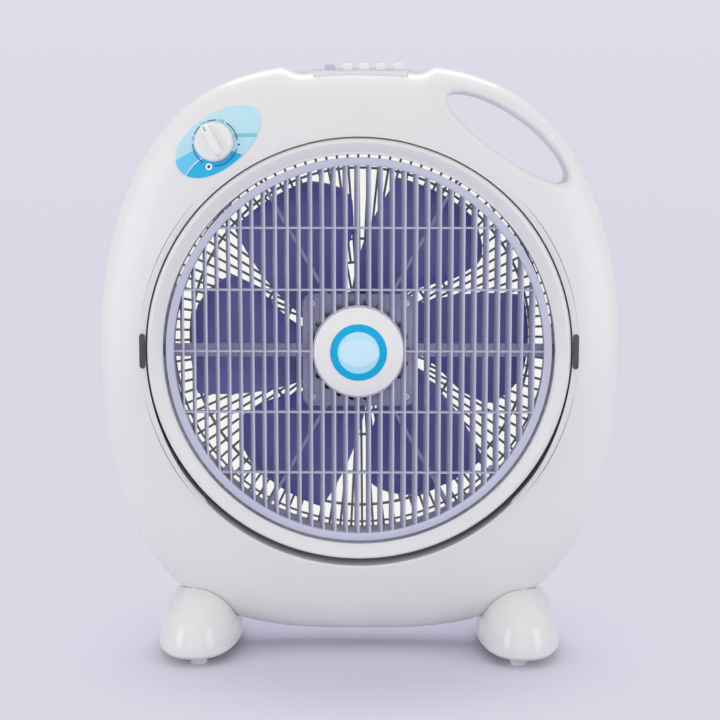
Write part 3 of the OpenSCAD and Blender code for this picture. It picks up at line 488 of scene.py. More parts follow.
def rimRadius(angle, inset, dip):
    # outline in a direction: a superellipse whose squareness changes with the direction, less the saddle
    above = np.sin(angle) >= 0
    n = squareness(angle)
    tall = np.where(above, bodyShape["topReach"], bodyShape["lowReach"]) - inset
    wide = bodyShape["halfWidth"] - inset
    r = ((abs(np.cos(angle)) / wide) ** n + (abs(np.sin(angle)) / tall) ** n) ** (-1 / n)
    lowered = r - saddleDrop(r * np.cos(angle), dip) / np.maximum(np.sin(angle), 0.8)
    return np.where(np.sin(angle) < 0.8, r, lowered)


def skinHeight(r, angle, inset, dip):
    # skin over the seam plane: a superellipse from the middle to the rim, bowed back towards the sides
    k = np.minimum(1, r / rimRadius(angle, inset, dip))
    x = r * np.cos(angle) / bodyShape["halfWidth"]
    e = bodyShape["squareEdge"]
    return (bodyShape["halfDepth"] - inset) * (1 - bodyShape["bow"] * x * x) * (1 - k ** e) ** (1 / e)


def skinAt(x, up, dip):
    return skinHeight(np.hypot(x, up), np.arctan2(up, x), 0, dip)


def meetBall(angle, inset, dip, ball):
    # radius at which the skin meets a ball, by halving
    low, high = np.full_like(angle, 0.12), rimRadius(angle, inset, dip)
    for _ in range(22):
        middle = (low + high) / 2
        inside = middle ** 2 + skinHeight(middle, angle, inset, dip) ** 2 < ball ** 2
        low, high = np.where(inside, middle, low), np.where(inside, high, middle)
    return middle


def shellHalf(dip, side):
    # loop of rings: seam edge, outer skin, land, ball-shaped well, back of the well, inner skin
    angle = np.linspace(0, 2 * np.pi, bodyShape["around"], endpoint=False)
    rim, land, well, wall = (rimRadius(angle, 0, dip), bodyShape["landRadius"], bodyShape["wellRadius"],
                             bodyShape["wall"])
    e = bodyShape["squareEdge"]
    rings = [(rim - 0.0008, 0 * angle), (rim - 0.0003, 0 * angle + 0.0003)]
    low = np.maximum(0, -np.sin(angle)) if side > 0 else 0 * angle
    share = ramp(low / 0.75)
    land = land + 0.0020 * share
    # a fine groove outside the raised land at the sides
    groove = ramp((abs(np.cos(angle)) - 0.70) / 0.2) * (side > 0)
    lastTurn = np.arccos(((land + 0.0011 * groove) / rim) ** (e / 2))
    for t in np.linspace(0, 1, 34) ** 1.35:
        r = rim * np.cos(0.003 + (lastTurn - 0.003) * t) ** (2 / e)
        rings.append((r, skinHeight(r, angle, 0, dip)))
    edge = rings[-1][1]
    face = np.maximum(bodyShape["landFace"], skinHeight(land - 0.0006, angle, 0, dip))
    rings.append((land + 0.0008 * groove, edge - 0.0022 * groove - 0.00005))
    rings.append((land + 0.0001, edge - 0.0024 * groove - 0.0001))
    meeting = np.maximum(bodyShape["landFace"], skinHeight(meetBall(angle, 0, dip, well), angle, 0, dip))
    upperEdge = np.sqrt(well ** 2 - meeting ** 2)
    flat = [(land, np.maximum(edge, face - 0.0012)), (land - 0.0003, face - 0.0003 * (face > edge + 0.0005)),
            (land - 0.0009, face), (land - 0.0015, face), (upperEdge + 0.0022, face),
            (upperEdge + 0.0010, meeting), (upperEdge + 0.0003, meeting - 0.0002)]
    # towards the bottom the edge rolls over at a wider radius and drops straight back to the well
    stand = upperEdge + (bodyShape["stand"] - upperEdge) * share
    brink = meeting - 0.0022 * share
    for t, (r, z) in zip(np.radians([2, 16, 31, 46, 61, 75, 87]), flat):
        round_ = (stand + (land - stand) * (1 - np.sin(t)), brink + (edge - brink) * np.cos(t))
        rings.append((r + (round_[0] - r) * share, z + (round_[1] - z) * share))
    for s in np.linspace(0.012, 1, 12):
        z = brink * (1 - s)
        rings.append((np.maximum(stand, np.sqrt(well ** 2 - z ** 2)), z))
    backRadius = well + wall
    backMeeting = skinHeight(meetBall(angle, wall, dip, backRadius), angle, wall, dip)
    for s in (1, 0.66, 0.33, 0):
        z = backMeeting * (1 - s)
        rings.append((np.maximum(np.sqrt(backRadius ** 2 - z ** 2), (stand + 0.0014) * share), z))
    innerRim, innerEnd = rimRadius(angle, wall, dip), meetBall(angle, wall, dip, backRadius)
    for s in (0.8, 0.6, 0.42, 0.26, 0.13, 0.05, 0):
        r = innerRim + (np.maximum(innerEnd, (stand + 0.0014) * share) - innerRim) * s
        if s == 0 and side < 0:
            # the rear half's seam face reaches down behind the front's lower lip
            rings.append((r, skinHeight(r, angle, wall, dip)))
            r = np.minimum(innerRim, rimRadius(angle, 0, bodyShape["saddleFront"]) - wall)
            rings.append((r, 0 * angle + 0.0004))
            rings.append((r, 0 * angle))
            continue
        rings.append((r, skinHeight(r, angle, wall, dip)))
    r = np.stack([q[0] for q in rings])
    z = np.stack([q[1] for q in rings])
    return gridPart(fromDrum(r * np.cos(angle), r * np.sin(angle), z * side), loopRows=True)


gripShape = {"at": math.radians(55), "radius": 0.249, "span": math.radians(15.8), "width": 0.039,
             "bend": 0.0048, "lip": 0.0085, "lipDeep": 0.0070, "back": 0.0030}


def gripOutline(grow, count=200):
    # a lens bent round the drum; grow moves the outline outwards
    turn = np.linspace(0, 2 * np.pi, count, endpoint=False)
    t = np.cos(turn)
    angle = gripShape["at"] + t * (gripShape["span"] + grow / gripShape["radius"])
    r = gripShape["radius"] + gripShape["bend"] * t * t + (gripShape["width"] / 2 + grow) * np.sin(turn)
    return r * np.cos(angle), r * np.sin(angle)


def gripLining(dip, side):
    # wall of the handle hole; its lip rolls over from the skin as a quarter of an ellipse
    g, rows = gripShape, []
    for t in np.linspace(0, np.pi / 2, 11):
        x, up = gripOutline(g["lip"] * (1 - math.sin(t)))
        drop = 0.0001 + g["lipDeep"] * (1 - math.cos(t))
        rows.append((x, up, skinAt(x, up, dip) - drop))
    for grow, share in ((0, 0.4), (0, 0), (g["back"], 0), (g["back"], 0.5)):
        x, up = gripOutline(grow)
        rows.append((x, up, share * skinAt(x, up, dip)))
    return gridPart(np.stack([fromDrum(x, up, z * side) for x, up, z in rows]), loopRows=True)


def gripCutter():
    x, up = gripOutline(gripShape["lip"] * 0.96)
    reach = 0.1
    rows = [fromDrum(x * 0 + x.mean(), up * 0 + up.mean(), -reach), fromDrum(x, up, -reach),
            fromDrum(x, up, reach), fromDrum(x * 0 + x.mean(), up * 0 + up.mean(), reach)]
    return gridPart(np.stack(rows))


panelBox = boxOf("key_panel")
keyNames = ("key_off", "key_low", "key_medium", "key_high", "key_swing")
keyShape = {"half": (0.0049, 0.0060, 0.0062), "round": 0.0021, "drop": 0.0033, "slot": 0.0003}
screwSpots = [(side * x, up) for x, up in ((0.228, 0.082), (0.228, -0.082), (0.062, 0.232), (0.096, -0.224))
              for side in (1, -1)]
screwWell, glandWell = 0.0042, 0.0063
glandCentre = sum(boxOf("cord_gland")) / 2


def panelCutter():
    # room for the key panel, open at the top
    low, high = panelBox[0] - 0.0003, panelBox[1] + [0.0003, 0.0003, 0.03]
    return block((low + high) / 2, (high - low) / 2, 0.0004, 8)


def wellCutter(radius, place):
    return peg(radius, 0.004, 0.09, place, (0, 1, 0), 0.0002)


rearWells = [wellCutter(screwWell, fromDrum(x, up, 0)) for x, up in screwSpots]
rearWells.append(wellCutter(glandWell, (glandCentre[0], drumCentre[1], glandCentre[2])))
for label, side, wells in (("front", 1, []), ("rear", -1, rearWells)):
    piece(label + "Half", shellHalf(bodyShape["saddle" + label.title()], side), "bodyWhite", "body",
          [label + "_shell"], cutters=[gripCutter(), panelCutter()] + wells)
for label, side in (("Front", 1), ("Rear", -1)):
    piece("gripLining" + label, gripLining(bodyShape["saddle" + label], side), "bodyWhite", "body")

print("body halves ready")

# ---- posts, sleeves and screws' seats inside the body

for x, up in screwSpots:
    skin = skinHeight(np.hypot(x, up) + 0.0056, np.arctan2(up, x), 0, bodyShape["saddleFront"])
    reach = float(skin) - 0.0012
    across, along = ("Left" if x < 0 else "Right"), ("Up" if up > 0 else "Low")
    section = [[0.0020, 0.0101], [0.0041, 0.0101], [0.0041, reach], [0.0056, reach], [0.0056, 0.0003],
               [0.0020, 0.0003]]
    piece("screwSleeve%s%d%s%d" % (across, round(abs(x) * 1000), along, round(abs(up) * 1000)),
          turned(softPath(section, 0.0002, 1), fromDrum(x, up, 0), (0, 1, 0), 48), "bodyWhite", "body")

# ---- feet

footShape = {
    "x": 0.158,
    "halfWidth": 0.0405,
    "halfLength": 0.085,
    "rim": 0.011,
    "crown": 0.065,
    "dome": 2.15,         # squareness of the crown
    "plan": 0.87,         # squareness of the plan
    "wall": 0.0026,
    "padRadius": 0.0083,
    "padSide": 0.154,     # pads and screws stand a little inside the foot's middle
    "padPlace": 0.066,
    "padHigh": 0.00995,
    "screwPlace": 0.019,
    "screwSeat": 0.042,
}


def underside(x, y):
    # height of the body's underside over the floor
    s = bodyShape
    depth = s["halfDepth"] * (1 - s["bow"] * (x / s["halfWidth"]) ** 2)
    k = (1 - np.minimum(1, abs(y) / depth) ** s["squareEdge"]) ** (1 / s["squareEdge"])
    aside, hang = abs(x) / np.maximum(k, 1e-6), s["lowReach"]
    for _ in range(9):
        # the squareness depends on the direction, so the height is closed in on
        n = squareness(-np.arctan2(hang, aside))
        hang = s["lowReach"] * (1 - np.minimum(1, aside / s["halfWidth"]) ** n) ** (1 / n)
    return drumCentre[2] - k * hang


def footPart(side):
    # inner dome from the middle down, rounded rim, then the outer dome back up to the middle
    f = footShape
    angle = np.linspace(0, 2 * np.pi, 288, endpoint=False)
    planX = np.sign(np.cos(angle)) * abs(np.cos(angle)) ** f["plan"]
    planY = np.sign(np.sin(angle)) * abs(np.sin(angle)) ** f["plan"]

    def ring(share, height, inset):
        x = side * f["x"] + share * (f["halfWidth"] - inset) * planX
        y = share * (f["halfLength"] - inset) * planY
        return np.stack([x, y, np.minimum(height, underside(x, y) - 0.0002 - inset)], axis=-1)

    def crownRing(t, inset):
        turn = t * np.pi / 2
        height = f["rim"] + (f["crown"] - f["rim"]) * np.sin(turn) ** (2 / f["dome"])
        return ring(max(0, np.cos(turn)) ** (2 / f["dome"]), height - inset, inset)

    rows = [crownRing(t, f["wall"]) for t in np.linspace(1, 0, 26)]
    for inset, below in ((f["wall"] + 0.0002, 0.0008), (0.0021, 0.0010), (0.0011, 0.00085), (0.0003, 0.0003)):
        rows.append(ring(1, 0, inset) * [1, 1, 0] + [0, 0, f["rim"] - below])
    rows += [crownRing(t, 0) for t in np.linspace(0, 1, 52) ** 1.15]
    return gridPart(np.stack(rows))


def footPegs(radius, low, high, side, place, edge=0.0004, around=48):
    # two upright pegs in a foot, one ahead of the seam and one behind it
    return [peg(radius, low, high, (side * footShape["padSide"], y, 0), (0, 0, 1), edge, around)
            for y in (-place, place)]


for side, name in ((-1, "left"), (1, "right")):
    posts = footPegs(0.0093, 0.0100, 0.031, side, footShape["padPlace"])
    posts += footPegs(0.0070, footShape["screwSeat"], 0.0490, side, footShape["screwPlace"])
    piece("foot" + name.title(), [footPart(side)] + posts, "footWhite", "body", [name + "_foot"])

piece("padsRounded", [pad for side in (-1, 1) for pad in
                      footPegs(footShape["padRadius"], 0.0, footShape["padHigh"], side, footShape["padPlace"],
                               0.0012, 72)], "padRubber", "body", ["foot_pads"])

print("feet ready")

# ---- drum

drumShape = {"ball": 0.207, "wall": 0.003, "front": 0.0495, "back": 0.062, "bossRing": 0.19133,
             "frontBossRing": 0.19196}
# corners of the bezel with its fine bead: radius, distance in front, rounding
bezelCorners = np.array([
    (0.20020, 0.0522, 0.0012), (0.19925, 0.0546, 0.0014), (0.1974, 0.0552, 0.0020), (0.1924, 0.0516, 0.0020),
    (0.1885, 0.0482, 0.0005), (0.1879, 0.0483, 0.0004), (0.1870, 0.0483, 0.0004), (0.18656, 0.0476, 0.0004),
    (0.18656, 0.0340, 0.0003), (0.18896, 0.0340, 0.0003), (0.18896, 0.0458, 0.0006), (0.1925, 0.0484, 0.0010),
    (0.1965, 0.0518, 0.0006), (0.1990, 0.0480, 0.0008)])
frontwards = (0, -1, 0)


def aroundDrum(profile, around, closed=True):
    # a profile of (radius, distance in front) carried round the drum's axis
    return turned(profile, drumCentre, frontwards, around, closed=closed)


def drumProfile():
    # outer ball, bezel, inner ball and the edge at the back
    d = drumShape
    ball, thin, back = d["ball"], d["ball"] - d["wall"], d["back"]
    outer = [(math.sqrt(ball ** 2 - f * f), f) for f in np.linspace(0.0003 - back, d["front"], 44)]
    inner = [(math.sqrt(thin ** 2 - f * f), f) for f in np.linspace(d["front"] - 0.0045, 0.0003 - back, 40)]
    edge = [(math.sqrt(thin ** 2 - back ** 2) + 0.0003, -back),
            (math.sqrt(ball ** 2 - back ** 2) - 0.0003, -back)]
    return np.concatenate([outer, softPath(bezelCorners[:, :2], bezelCorners[:, 2], 4), inner, edge])


def bossRing(radius, low, high, ringRadius):
    # four short pegs round the drum's axis, at its diagonals
    places = [fromDrum(ringRadius * math.cos(a), ringRadius * math.sin(a), 0)
              for a in np.radians([45, 135, 225, 315])]
    return [peg(radius, low, high, place, frontwards, 0.0003) for place in places]


piece("drumRing", [aroundDrum(drumProfile(), 480)] + bossRing(0.0045, -0.0618, -0.0490, drumShape["bossRing"])
      + bossRing(0.0050, 0.0340, 0.0490, drumShape["frontBossRing"]), "bodyWhite", "drum", ["drum_shell"])

# ---- louvre wheel

wheelShape = {"out": 0.18356, "in": 0.17606, "front": 0.050, "back": 0.036, "fins": 15, "finHalf": 0.0008,
              "finFront": 0.0490, "finBack": 0.0370, "lean": 0.0036, "hub": 0.0440, "hubFront": 0.0470,
              "bars": 2, "barHalf": 0.0010, "barBack": 0.0385, "barFront": 0.0455}
finPitch = wheelShape["in"] / (wheelShape["fins"] + 0.85)


def wheelRim():
    w = wheelShape
    section = [[w["in"], w["back"]], [w["in"], w["front"] - 0.0006], [0.17980, w["front"] + 0.0001],
               [w["out"], w["front"] - 0.0006], [w["out"], w["back"]]]
    return aroundDrum(softPath(section, [0.0005, 0.0010, 0.0020, 0.0012, 0.0005]), 480)


def wheelFins():
    # upright bars leaning to the left at the back, with round front edges, stopped at the hub
    w = wheelShape
    half, front, back, lean = w["finHalf"], w["finFront"], w["finBack"], w["lean"]
    nose = [(half * math.sin(a), front - half + half * math.cos(a))
            for a in np.linspace(-np.pi / 2, np.pi / 2, 7)]
    section = nose + [(half - lean, back + 0.0003), (half - lean - 0.0003, back),
                      (-half - lean + 0.0003, back), (-half - lean, back + 0.0003)]
    parts, hole = [], w["hub"] - 0.0006
    for x in finPitch * np.arange(-w["fins"], w["fins"] + 1):
        reach = math.sqrt((w["in"] + 0.0030) ** 2 - x * x)
        ends = [(-reach, reach)]
        if abs(x) <= hole + 0.0010:
            gap = math.sqrt(max(0.0004 ** 2, hole ** 2 - x * x))
            ends = [(-reach, -gap), (gap, reach)]
        parts += [bar(section, fromDrum(x, low, 0), fromDrum(x, high, 0), (1, 0, 0), frontwards)
                  for low, high in ends]
    return parts


def wheelBars():
    w = wheelShape
    half, back, front = w["barHalf"], w["barBack"], w["barFront"]
    section = softPath([[-half, back], [half, back], [half, front], [-half, front]], 0.0004, 3)
    parts = []
    for j in range(-w["bars"], w["bars"] + 1):
        up = j * w["in"] / 3
        reach = math.sqrt((w["in"] + 0.0030) ** 2 - up * up)
        parts.append(bar(section, fromDrum(-reach, up, 0), fromDrum(reach, up, 0), (0, 0, 1), frontwards))
    return parts


def wheelHub():
    # a disc with a low rim that the cap stands in
    w = wheelShape
    hub, back, front = w["hub"], w["finBack"], w["hubFront"]
    section = [[0.0032, back], [hub, back], [hub, front + 0.0008], [hub - 0.0012, front + 0.0008],
               [hub - 0.0014, front], [0.0032, front]]
    return aroundDrum(softPath(section, [0.0002, 0.0008, 0.0006, 0.0003, 0.0002, 0.0002], 4), 160)


piece("louvreWheelFine", [wheelRim(), wheelHub()] + wheelFins() + wheelBars(), "louvreLilac", "louvre",
      ["louvre_wheel"])

capShape = {"radius": 0.0425, "foot": 0.04705, "wall": 0.0020, "rise": 0.0090, "disc": 0.0270}
capBall = (capShape["radius"] ** 2 + capShape["rise"] ** 2) / (2 * capShape["rise"])


def domeLine(radii, lift=0.0):
    # front of the hub cap: a ball's cap standing on a low wall
    top = capShape["foot"] + capShape["wall"] + capShape["rise"]
    return [(r, top - capBall + math.sqrt((capBall + lift) ** 2 - r ** 2)) for r in radii]


capFoot = [(0, 0), (0.0421, 0), (0.0425, 0.0004), (0.0425, 0.00095), (0.04246, 0.00155), (0.0423, 0.00195),
           (0.0419, 0.00225)]
capLine = [(r, capShape["foot"] + up) for r, up in capFoot] + domeLine(np.linspace(0.0412, 0, 40))
piece("hubCapRound", aroundDrum(capLine, 192, closed=False), "knobWhite", "louvre", ["hub_cap"])


def discPrint(tree):
    # cyan ring round a pale disc with a lighter lens across it
    x, _, z = split(tree, objectPlace(tree, move=(0, 0, -drumCentre[2])))
    radius = (x * x + z * z) ** 0.5
    lens = ((x * x + (z * 1.35) * (z * 1.35)) ** 0.5).step(0.0184, 0.0176)
    fade = (z * 18.0 + 0.5).step(0.0, 1.0)
    inner = mixColour(tree, fade, tint(172, 226, 250), tint(190, 234, 252))
    inner = mixColour(tree, lens * 0.8, inner, tint(212, 242, 252))
    speck = noise(tree, objectPlace(tree), 260.0, 2.0)
    ring = mixColour(tree, speck.step(0.3, 0.7), tint(0, 170, 218), tint(0, 176, 224))
    return {"Base Color": mixColour(tree, radius.step(0.01975, 0.01990), inner, ring),
            "Roughness": 0.24 + speck * 0.10, "Normal": bump(tree, speck, 0.00001)}


finishes["discBlue"] = material("discBlue", discPrint, **{"Specular IOR Level": 0.25})
finishNode("cap_disc", "discBlue")
discRadii = np.linspace(capShape["disc"], 0, 24)
discLine = domeLine(discRadii[::-1], 0.00005) + domeLine(discRadii[:1], 0.0003)
discLine += domeLine(discRadii[1:], 0.00045)
piece("capDiscPrinted", aroundDrum(discLine, 144, closed=False), "discBlue", "louvre", ["cap_disc"])

print("drum and louvre wheel ready")

# ---- impeller

bladeShape = {"count": 6, "hub": 0.050, "tip": 0.168, "start": 25, "thick": 0.0024}


def bladePart(at):
    # w runs from the hub to the tip and s across the blade, from its straight to its lobed edge
    w = np.concatenate([[-0.02], np.linspace(-0.02, 0.96, 44), 1 - 0.04 * np.linspace(0.9, 0, 7) ** 1.6])
    w = w[:, None]
    count = 26
    s = (1 - np.cos(np.linspace(0, np.pi, count))) / 2
    across = np.concatenate([s, s[::-1][1:-1]])[None, :]
    upper = np.concatenate([np.ones(count), -np.ones(count - 2)])[None, :]
    straight = -35 + 23 * np.maximum(0, w) ** 0.75
    lobed = 17 + 15 * ramp((w + 0.05) / 0.65) - 15 * np.maximum(0, (w - 0.75) / 0.25) ** 2
    height = (-41 + 8 * w + (0.5 - across) * (18 + 20 * w) + 3 * np.sin(np.pi * across)) / 1000
    edges = np.maximum(0, 1 - abs(2 * across - 1) ** 14)
    tip = np.maximum(0, 1 - np.maximum(0, (w - 0.90) / 0.10) ** 12)
    soft = np.sqrt(edges * tip) * np.where(np.arange(len(w))[:, None] == 0, 0, 1)
    angle = np.radians(90 - at - (straight + across * (lobed - straight)))
    radius = bladeShape["hub"] + w * (bladeShape["tip"] - bladeShape["hub"])
    height = height + upper * soft * bladeShape["thick"] / 2
    return gridPart(fromDrum(radius * np.cos(angle), radius * np.sin(angle), height))


hubSection = [[0.0475, -0.050], [0.050, -0.050], [0.050, -0.030], [0.0042, -0.030], [0.0042, -0.050],
              [0.009, -0.050], [0.009, -0.0325], [0.0475, -0.0325]]
hubRounds = [0.0005, 0.0008, 0.0025, 0.0005, 0.0003, 0.0004, 0.001, 0.001]
bladeStep = 360 / bladeShape["count"]
piece("impellerSwept", [aroundDrum(softPath(hubSection, hubRounds, 4), 160)]
      + [bladePart(i * bladeStep + bladeShape["start"]) for i in range(bladeShape["count"])],
      "fanViolet", "fan", ["impeller"])

# ---- rear grille

grilleShape = {"radius": 0.19613, "seat": 0.0622, "rise": 0.019, "ribDepth": 0.0026, "ribHalf": 0.0012,
               "ribs": 108, "ribEnd": 0.1948, "rings": (0.077, 0.101, 0.173), "disc": 0.042,
               "rimBack": 0.0650}


def grilleBack(radius):
    # how far behind the pivots the dome's inner face lies
    return grilleShape["seat"] + grilleShape["rise"] * (1 - (np.asarray(radius) / grilleShape["radius"]) ** 2)


def grilleRib(turn, start):
    g = grilleShape
    radius = np.linspace(start, g["ribEnd"], 9)
    half, deep = g["ribHalf"], g["ribDepth"]
    section = np.array([(-half, deep * 0.2), (-half * 0.6, 0), (half * 0.6, 0), (half, deep * 0.2),
                        (half, deep * 0.75), (half * 0.6, deep), (-half * 0.6, deep), (-half, deep * 0.75)])
    c, s = math.cos(math.radians(turn)), math.sin(math.radians(turn))
    rows = []
    for k, r in enumerate([radius[0], *radius, radius[-1]]):
        atEnd = k in (0, len(radius) + 1)    # the ends close on the section's middle
        across, depth = (np.array([[0, deep / 2]] * len(section)) if atEnd else section).T
        rows.append(fromDrum(r * c - across * s, r * s + across * c, -(grilleBack(r) + depth)))
    return gridPart(np.stack(rows))


def grilleRing(inner, outer, front, back, around=288, soft=0.0005):
    # a flat ring between two radii, from one distance behind the pivots to another
    return aroundDrum(softPath([[inner, -front], [outer, -front], [outer, -back], [inner, -back]], soft, 3),
                      around)


g = grilleShape
ribStarts = (0.0395, 0.076, 0.0765)
grilleParts = [grilleRib(i * 360 / g["ribs"] + 0.6, ribStarts[i % 3]) for i in range(g["ribs"])]
for r in g["rings"]:
    back = float(grilleBack(r))
    grilleParts.append(grilleRing(r - 0.0013, r + 0.0013, back - 0.0003, back + g["ribDepth"] + 0.0002))
for inner, outer in ((0.1944, g["radius"]), (0.1888, 0.1908)):
    grilleParts.append(grilleRing(inner, outer, g["seat"], g["rimBack"], 360, 0.0006))
across = np.linspace(0, g["disc"] - 0.0005, 8)
section = [(r, 0.0001) for r in across] + [(g["disc"], 0.0006), (g["disc"], 0.0020)]
section += [(r, 0.0024) for r in across[::-1]]
grilleParts.append(aroundDrum([(r, -float(grilleBack(r)) - deep) for r, deep in section], 144, closed=False))
grilleParts += bossRing(0.0046, -g["rimBack"], -g["seat"], drumShape["bossRing"])
piece("rearGrilleFine", grilleParts, "grilleGrey", "drum", ["rear_grille"])

# low rings round the motor's screws on the spider's plate
bossSection = softPath([[0.0042, 0.0340], [0.0082, 0.0340], [0.0078, 0.0352], [0.0066, 0.0356],
                        [0.0046, 0.0352]], 0.0004, 3)
piece("spiderBosses", [turned(bossSection, fromDrum(x * 0.045, up * 0.045, 0), frontwards, 48)
                       for x in (-1, 1) for up in (-1, 1)], "spiderMauve", "drum")

print("impeller and grille ready")

# ---- timer

timerJoint = jointNamed("timer_turn")
timerFoot = np.array(timerJoint["pos_m"], float)
timerOut = np.array(timerJoint["axis"], float)
timerOut /= np.linalg.norm(timerOut)
timerAcross = np.array([-timerOut[1], timerOut[0], 0.0])
timerAcross /= np.linalg.norm(timerAcross)
timerUp = np.cross(timerOut, timerAcross)
timerSide, timerHigh = float(timerFoot[0] - drumCentre[0]), float(timerFoot[2] - drumCentre[2])
plateShape = {"long": 0.047, "short": 0.0260, "turn": math.radians(35), "egg": 0.08, "thick": 0.0008,
              "lift": 0.00015, "hole": 0.0070}


def platePlace(share, angle):
    # egg: long (1 + egg cos a) cos a along, short sin a across, turned to the upper right
    p = plateShape
    x = share * p["long"] * (1 + p["egg"] * np.cos(angle)) * np.cos(angle)
    y = share * p["short"] * np.sin(angle)
    return (timerSide + x * math.cos(p["turn"]) - y * math.sin(p["turn"]),
            timerHigh + x * math.sin(p["turn"]) + y * math.cos(p["turn"]))


def timerPlate():
    p = plateShape
    angle = np.linspace(0, 2 * np.pi, 168, endpoint=False)
    rows, first = [], 0.165
    front, back = p["thick"] + p["lift"], p["lift"]
    profile = [(first, back)] + [(u, back) for u in np.linspace(0.25, 0.985, 12)]
    profile += [(0.990, back + 0.0001), (0.990, front - 0.0003), (0.982, front - 0.00005)]
    profile += [(u, front) for u in np.linspace(0.975, first, 18)]
    for share, lift in profile:
        x, up = platePlace(share, angle)
        if share == first:
            # the hole round the timer's shaft
            x = timerSide + p["hole"] * np.cos(angle + p["turn"])
            up = timerHigh + p["hole"] * np.sin(angle + p["turn"])
        rows.append(fromDrum(x, up, skinAt(x, up, bodyShape["saddleFront"]) + lift))
    return gridPart(np.stack(rows), loopRows=True)


def between(value, low, high, soft=0.0002):
    # 1 where a value lies between two limits, with soft edges
    return value.step(low - soft, low + soft) * value.step(high + soft, high - soft)


def platePrint(tree):
    # pale blue above, two stronger blues below with a white curve between them, a teal band at the
    # right, and a scale round the knob: an arc broken by its marks; lengths in mm from the axis
    foot = [-1000 * float(timerFoot[0]), 0, -1000 * float(timerFoot[2])]
    x, _, z = split(tree, objectPlace(tree, move=foot, scale=(1000, 1000, 1000)))
    c, d = math.cos(plateShape["turn"]), math.sin(plateShape["turn"])
    along, across = x * c + z * d, z * c - x * d
    radius = (x * x + z * z) ** 0.5
    turn = x.math("ARCTAN2", z, x)
    speck = noise(tree, objectPlace(tree), 300.0, 2.0)
    colour = mixColour(tree, z.step(22.0, -10.0), tint(190, 230, 242), tint(182, 226, 240))
    left = (z + 7.3 - (x + 21.6) * 0.55).step(0.5, -0.5) * x.step(-11.0, -13.0)
    colour = mixColour(tree, left, colour, tint(100, 202, 240))
    short = (x + 12.2).math("MINIMUM", x + 12.2, 0.0)
    past = (x + 12.2).math("MAXIMUM", x + 12.2, 0.0)
    far = (x - 16.6).math("MAXIMUM", x - 16.6, 0.0)
    curve = z + 14.4 - short * 0.437 + short * short * 0.0382
    colour = mixColour(tree, (curve - past * 0.2465 + far * 0.64).step(0.3, -0.3), colour, tint(0, 180, 228))
    teal = between(z - x * 0.02, 4.8, 8.3, 0.3) * x.step(17.0, 19.0)
    colour = mixColour(tree, teal, colour, tint(126, 204, 214))
    line = between(curve, -0.55, 0.55, 0.15) * x.step(-11.0, -12.5)
    colour = mixColour(tree, line, colour, tint(240, 248, 251))
    ink = tint(44, 86, 120)
    ring = between(radius, 20.9, 22.0, 0.2)
    for angle, half in ((170.5, 11), (122.5, 10), (73.5, 12), (-4, 11), (-107, 15)):
        apart = abs(turn.math("WRAP", turn - math.radians(angle), math.pi, -math.pi))
        ring = ring * apart.step(math.radians(half), math.radians(half + 1))
    colour = mixColour(tree, ring, colour, mixColour(tree, z.step(-2.0, -8.0), ink, tint(0, 84, 156)))
    for angle, strokes in ((169, (-1.0, 1.0)), (122.5, (-1.9, 0, 1.9)), (73.5, (-2.1, 0, 2.1))):
        c, d = math.cos(math.radians(angle)), math.sin(math.radians(angle))
        out, aside = x * c + z * d, x * d - z * c
        for place in strokes:
            stroke = between(out, 20.2, 22.8, 0.2) * between(aside, place - 0.45, place + 0.45, 0.2)
            colour = mixColour(tree, stroke * 0.85, colour, ink)
    dots = ((-4, 1.1, ink), (-104.5, 3.2, tint(246, 250, 252)), (-104.5, 1.5, tint(34, 62, 92)))
    for angle, size, dot in dots:
        dx, dz = x - 22.9 * math.cos(math.radians(angle)), z - 22.9 * math.sin(math.radians(angle))
        colour = mixColour(tree, ((dx * dx + dz * dz) ** 0.5).step(size + 0.2, size - 0.2), colour, dot)
    egg = ((along / (47.0 + along * 0.075)) ** 2 + (across / 26.0) ** 2) ** 0.5
    colour = mixColour(tree, egg.step(0.984, 0.992), colour, tint(236, 244, 248))
    colour = mixColour(tree, speck * 0.05, colour, tint(255, 255, 255))
    return {"Base Color": colour, "Roughness": 0.26 + speck * 0.10, "Normal": bump(tree, speck, 0.00001)}


finishes["dialBlue"] = material("dialBlue", platePrint, **{"Specular IOR Level": 0.22})
finishNode("timer_plate", "dialBlue")
piece("timerPlatePrinted", timerPlate(), "dialBlue", "body", ["timer_plate"])

knobShape = {"radius": 0.0184, "gap": 0.0014, "skirt": 0.0070, "height": 0.0164, "gripHalf": 0.0035,
             "turn": math.radians(32.5), "markAt": 0.0118}


def stadium(half, reach, count=18):
    # outline of a bar with round ends: (across, along) pairs
    turn = np.linspace(0, np.pi, count)
    top = [(half * math.cos(a), reach - half + half * math.sin(a)) for a in turn]
    low = [(half * math.cos(a), -reach + half + half * math.sin(a)) for a in turn + np.pi]
    return np.array(top + low)


def knobParts():
    k = knobShape
    r, gap, top = k["radius"], k["gap"], k["skirt"]
    skirt = turned([(0.0032, gap), (r - 0.0004, gap), (r, gap + 0.0004), (r - 0.00045, top * 0.75),
                    (r - 0.0008, top + 0.0002), (r - 0.0013, top + 0.0009), (r - 0.0021, top + 0.00115),
                    (r - 0.0040, top + 0.0011), (0.0032, top + 0.0009)], timerFoot, timerOut, 192)
    across = timerAcross * math.cos(k["turn"]) + timerUp * math.sin(k["turn"])
    along = timerUp * math.cos(k["turn"]) - timerAcross * math.sin(k["turn"])
    low, high = top - 0.0004, k["height"]
    rows = [(0, low), (1.12, low), (1.12, top + 0.0009), (1.03, top + 0.0020), (1.0, top + 0.0032),
            (0.985, high - 0.0012), (0.95, high - 0.0004), (0.88, high), (0.6, high - 0.0001),
            (0, high - 0.0002)]
    grip = raised(stadium(k["gripHalf"], r - 0.0017), rows, timerFoot, (across, along, timerOut))
    return [skirt, grip], across, along


